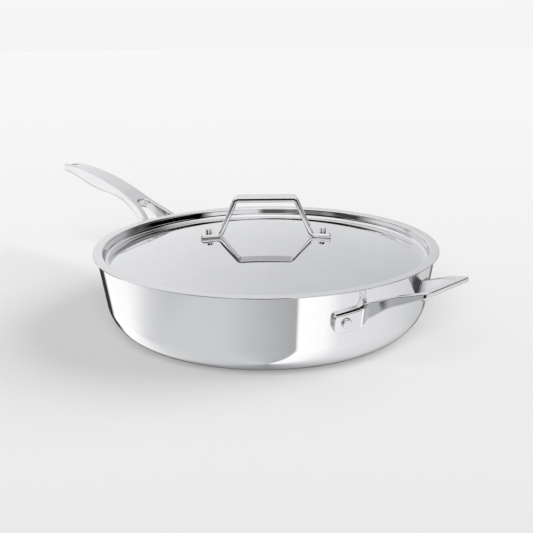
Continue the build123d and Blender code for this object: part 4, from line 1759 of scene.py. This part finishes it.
    def build(self) -> None:
        """World nodes: the backdrop for the camera, an even light for the matt, the studio for the gloss."""
        world = bpy.data.worlds.new("studio")
        bpy.context.scene.world = world
        world.use_nodes = True
        board = NodeBoard(world.node_tree)
        colour, elevation = self.gloss(board)
        height = board.stretch(elevation, self.backdrop[0][0], self.backdrop[-1][0], 0.0, 1.0)
        seen = board.ramp(height, grey_stops(self.backdrop))
        ray = board.add("ShaderNodeLightPath")
        even = board.mixed(ray.outputs["Is Glossy Ray"], (self.fill, self.fill, self.fill, 1.0), colour)
        final = board.mixed(ray.outputs["Is Camera Ray"], even, seen)
        glow = board.add("ShaderNodeBackground", {"Color": final, "Strength": 1.0})
        board.add("ShaderNodeOutputWorld", {0: glow.outputs[0]})


@dataclass(frozen=True)
class Studio:
    """Floor, lamps and camera."""

    floor_size: float = 40.0
    # Painted light: display levels of the floor's colour by distance away from the camera, darker near and
    # lighter far off.
    painted_floor_light: tuple[tuple[float, float], ...] = (
        (-0.45, 230), (-0.328, 232), (-0.27, 234), (-0.144, 235), (0.0, 237), (0.284, 240), (0.98, 242.5),
        (1.88, 244), (3.55, 245))
    lamp_width: float = 50.0
    target_height: float = 0.0726
    distance: float = 0.700
    azimuth: float = 45.88
    elevation: float = 15.08
    pitch: float = 16.90
    yaw: float = 0.025
    roll: float = -0.56
    lens: float = 50.32

    def floor(self) -> None:
        """A wide pale floor, hidden from gloss so that the studio's own panels show there, its colour painted
        lighter away from the camera: a painted gradient of light that fades it into the backdrop.
        """
        half = self.floor_size / 2 / MM
        points = np.array([[-half, -half, 0], [half, -half, 0], [half, half, 0], [-half, half, 0]])
        mesh = bpy.data.meshes.new("floor")
        mesh.from_pydata((points * MM).tolist(), [], [(0, 1, 2, 3)])
        plane = bpy.data.objects.new("floor", mesh)
        bpy.context.scene.collection.objects.link(plane)
        material = bpy.data.materials.new("floor_paper")
        material.use_nodes = True
        board = NodeBoard(material.node_tree)
        place = board.add("ShaderNodeTexCoord").outputs["Object"]
        tooth = board.add("ShaderNodeTexNoise", {"Vector": place, "Scale": 4.0, "Detail": 2.0})
        turn = math.radians(self.azimuth)
        away = board.add("ShaderNodeVectorMath", {0: place, 1: (-math.sin(turn), math.cos(turn), 0)},
                         operation="DOT_PRODUCT").outputs["Value"]
        low, high = self.painted_floor_light[0][0], self.painted_floor_light[-1][0]
        # Painted light: the floor's colour ramps from darker near the camera to lighter far away.
        sweep = board.ramp(board.stretch(away, low, high, 0.0, 1.0), grey_stops(self.painted_floor_light))
        grain = board.stretch(tooth.outputs[0], 0.0, 1.0, 0.995, 1.005)
        colour = board.add("ShaderNodeVectorMath", {0: sweep, "Scale": grain}, operation="SCALE")
        paper = board.add("ShaderNodeBsdfPrincipled", {"Base Color": colour.outputs[0], "Roughness": 0.9,
                                                       "Specular IOR Level": 0.0})
        board.add("ShaderNodeOutputMaterial", {0: paper.outputs[0]})
        mesh.materials.append(material)
        plane.visible_glossy = False

    def lamp(self, name: str, turn: float, height: float, share: float) -> None:
        """A broad soft light from far away, which stays out of the reflections.

        Args:
            name: The lamp's name.
            turn: Degrees to the right of the camera, as seen from the pan.
            height: Degrees above the floor.
            share: Part of the floor's light that it gives.
        """
        light = bpy.data.lights.new(name, "SUN")
        light.energy = share * math.pi / math.sin(math.radians(height))
        light.angle = math.radians(self.lamp_width)
        around, up = math.radians(self.azimuth - 90 + turn), math.radians(height)
        source = Vector((math.cos(around) * math.cos(up), math.sin(around) * math.cos(up), math.sin(up)))
        lamp = bpy.data.objects.new(name, light)
        lamp.rotation_euler = source.to_track_quat("Z", "Y").to_euler()
        lamp.visible_glossy = False
        bpy.context.scene.collection.objects.link(lamp)

    def camera(self) -> None:
        """The camera at the photograph's place: it looks back along its azimuth and elevation."""
        azimuth, elevation = math.radians(self.azimuth), math.radians(self.elevation)
        back = Vector((math.sin(azimuth) * math.cos(elevation), -math.cos(azimuth) * math.cos(elevation),
                       math.sin(elevation)))
        heading = Vector((-math.sin(azimuth), math.cos(azimuth), 0))
        side = Vector((math.cos(azimuth), math.sin(azimuth), 0))
        turn, dip = math.radians(self.yaw), math.radians(self.pitch)
        ahead = heading * math.cos(turn) + side * math.sin(turn)
        across = side * math.cos(turn) - heading * math.sin(turn)
        look = ahead * math.cos(dip) - Vector((0, 0, 1)) * math.sin(dip)
        up = across.cross(look)
        lean = math.radians(self.roll)
        right = across * math.cos(lean) + up * math.sin(lean)
        above = up * math.cos(lean) - across * math.sin(lean)
        view = bpy.data.cameras.new("camera")
        view.lens = self.lens
        view.sensor_width = 36.0
        view.clip_start = 0.01
        camera = bpy.data.objects.new("camera", view)
        turn_matrix = Matrix((right, above, -look)).transposed().to_4x4()
        eye = Vector((0, 0, self.target_height)) + back * self.distance
        camera.matrix_world = Matrix.Translation(eye) @ turn_matrix
        bpy.context.scene.collection.objects.link(camera)
        bpy.context.scene.camera = camera

    def build(self) -> None:
        """Makes the camera, the floor, the lamps and the world."""
        self.camera()
        self.floor()
        self.lamp("side_light", 96.0, 30.0, 0.30)
        self.lamp("front_light", -8.0, 38.0, 0.36)
        StudioLight().build()
        bpy.context.scene.view_settings.view_transform = "Standard"


def main() -> None:
    """Loads the frame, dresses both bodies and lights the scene."""
    logging.basicConfig(level=logging.INFO, format="%(name)s: %(message)s")
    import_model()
    build_turned_rings()
    build_handling()
    build_grain()
    mirror = SteelFinish("mirror_steel", (0.80, 0.80, 0.81), (0.02, 0.05), grain_relief=0.0002).material()
    satin = SteelFinish("satin_steel", (0.72, 0.72, 0.72), (0.20, 0.30), ring_relief=0.01, ring_density=1600,
                        ring_tone=0.06, turned=True).material()
    bar = BarSizes()
    # Place of the hang hole, where the cast steel's colour carries painted shade.
    hole_place = -(BowlSizes().rim_radius + bar.reach - bar.hole_inset) * MM
    cast = SteelFinish("cast_steel", (0.78, 0.78, 0.79), (0.07, 0.14), grain_relief=0.002,
                       painted_hole_shade=(hole_place, 0.0, bar.hole_radius * MM)).material()
    pin = SteelFinish("rivet_steel", (0.76, 0.76, 0.77), (0.07, 0.14), grain_relief=0.001).material()
    sheet = SteelFinish("lid_steel", (0.80, 0.80, 0.81), (0.02, 0.05), ring_relief=0.0006, ring_density=1200,
                        ring_tone=0.02, turned=True).material()
    band = SteelFinish("strap_steel", (0.80, 0.80, 0.81), (0.02, 0.06), grain_relief=0.0002).material()
    core = SteelFinish("core_aluminium", (0.80, 0.80, 0.82), (0.30, 0.42), grain_relief=0.004).material()
    Pan(BowlSizes(), PadSizes(), mirror, satin, cast, pin, core).build()
    LidAssembly(LidSizes(), StrapSizes(), sheet, band, pin).build()
    Studio().build()


if __name__ == "__main__":
    main()
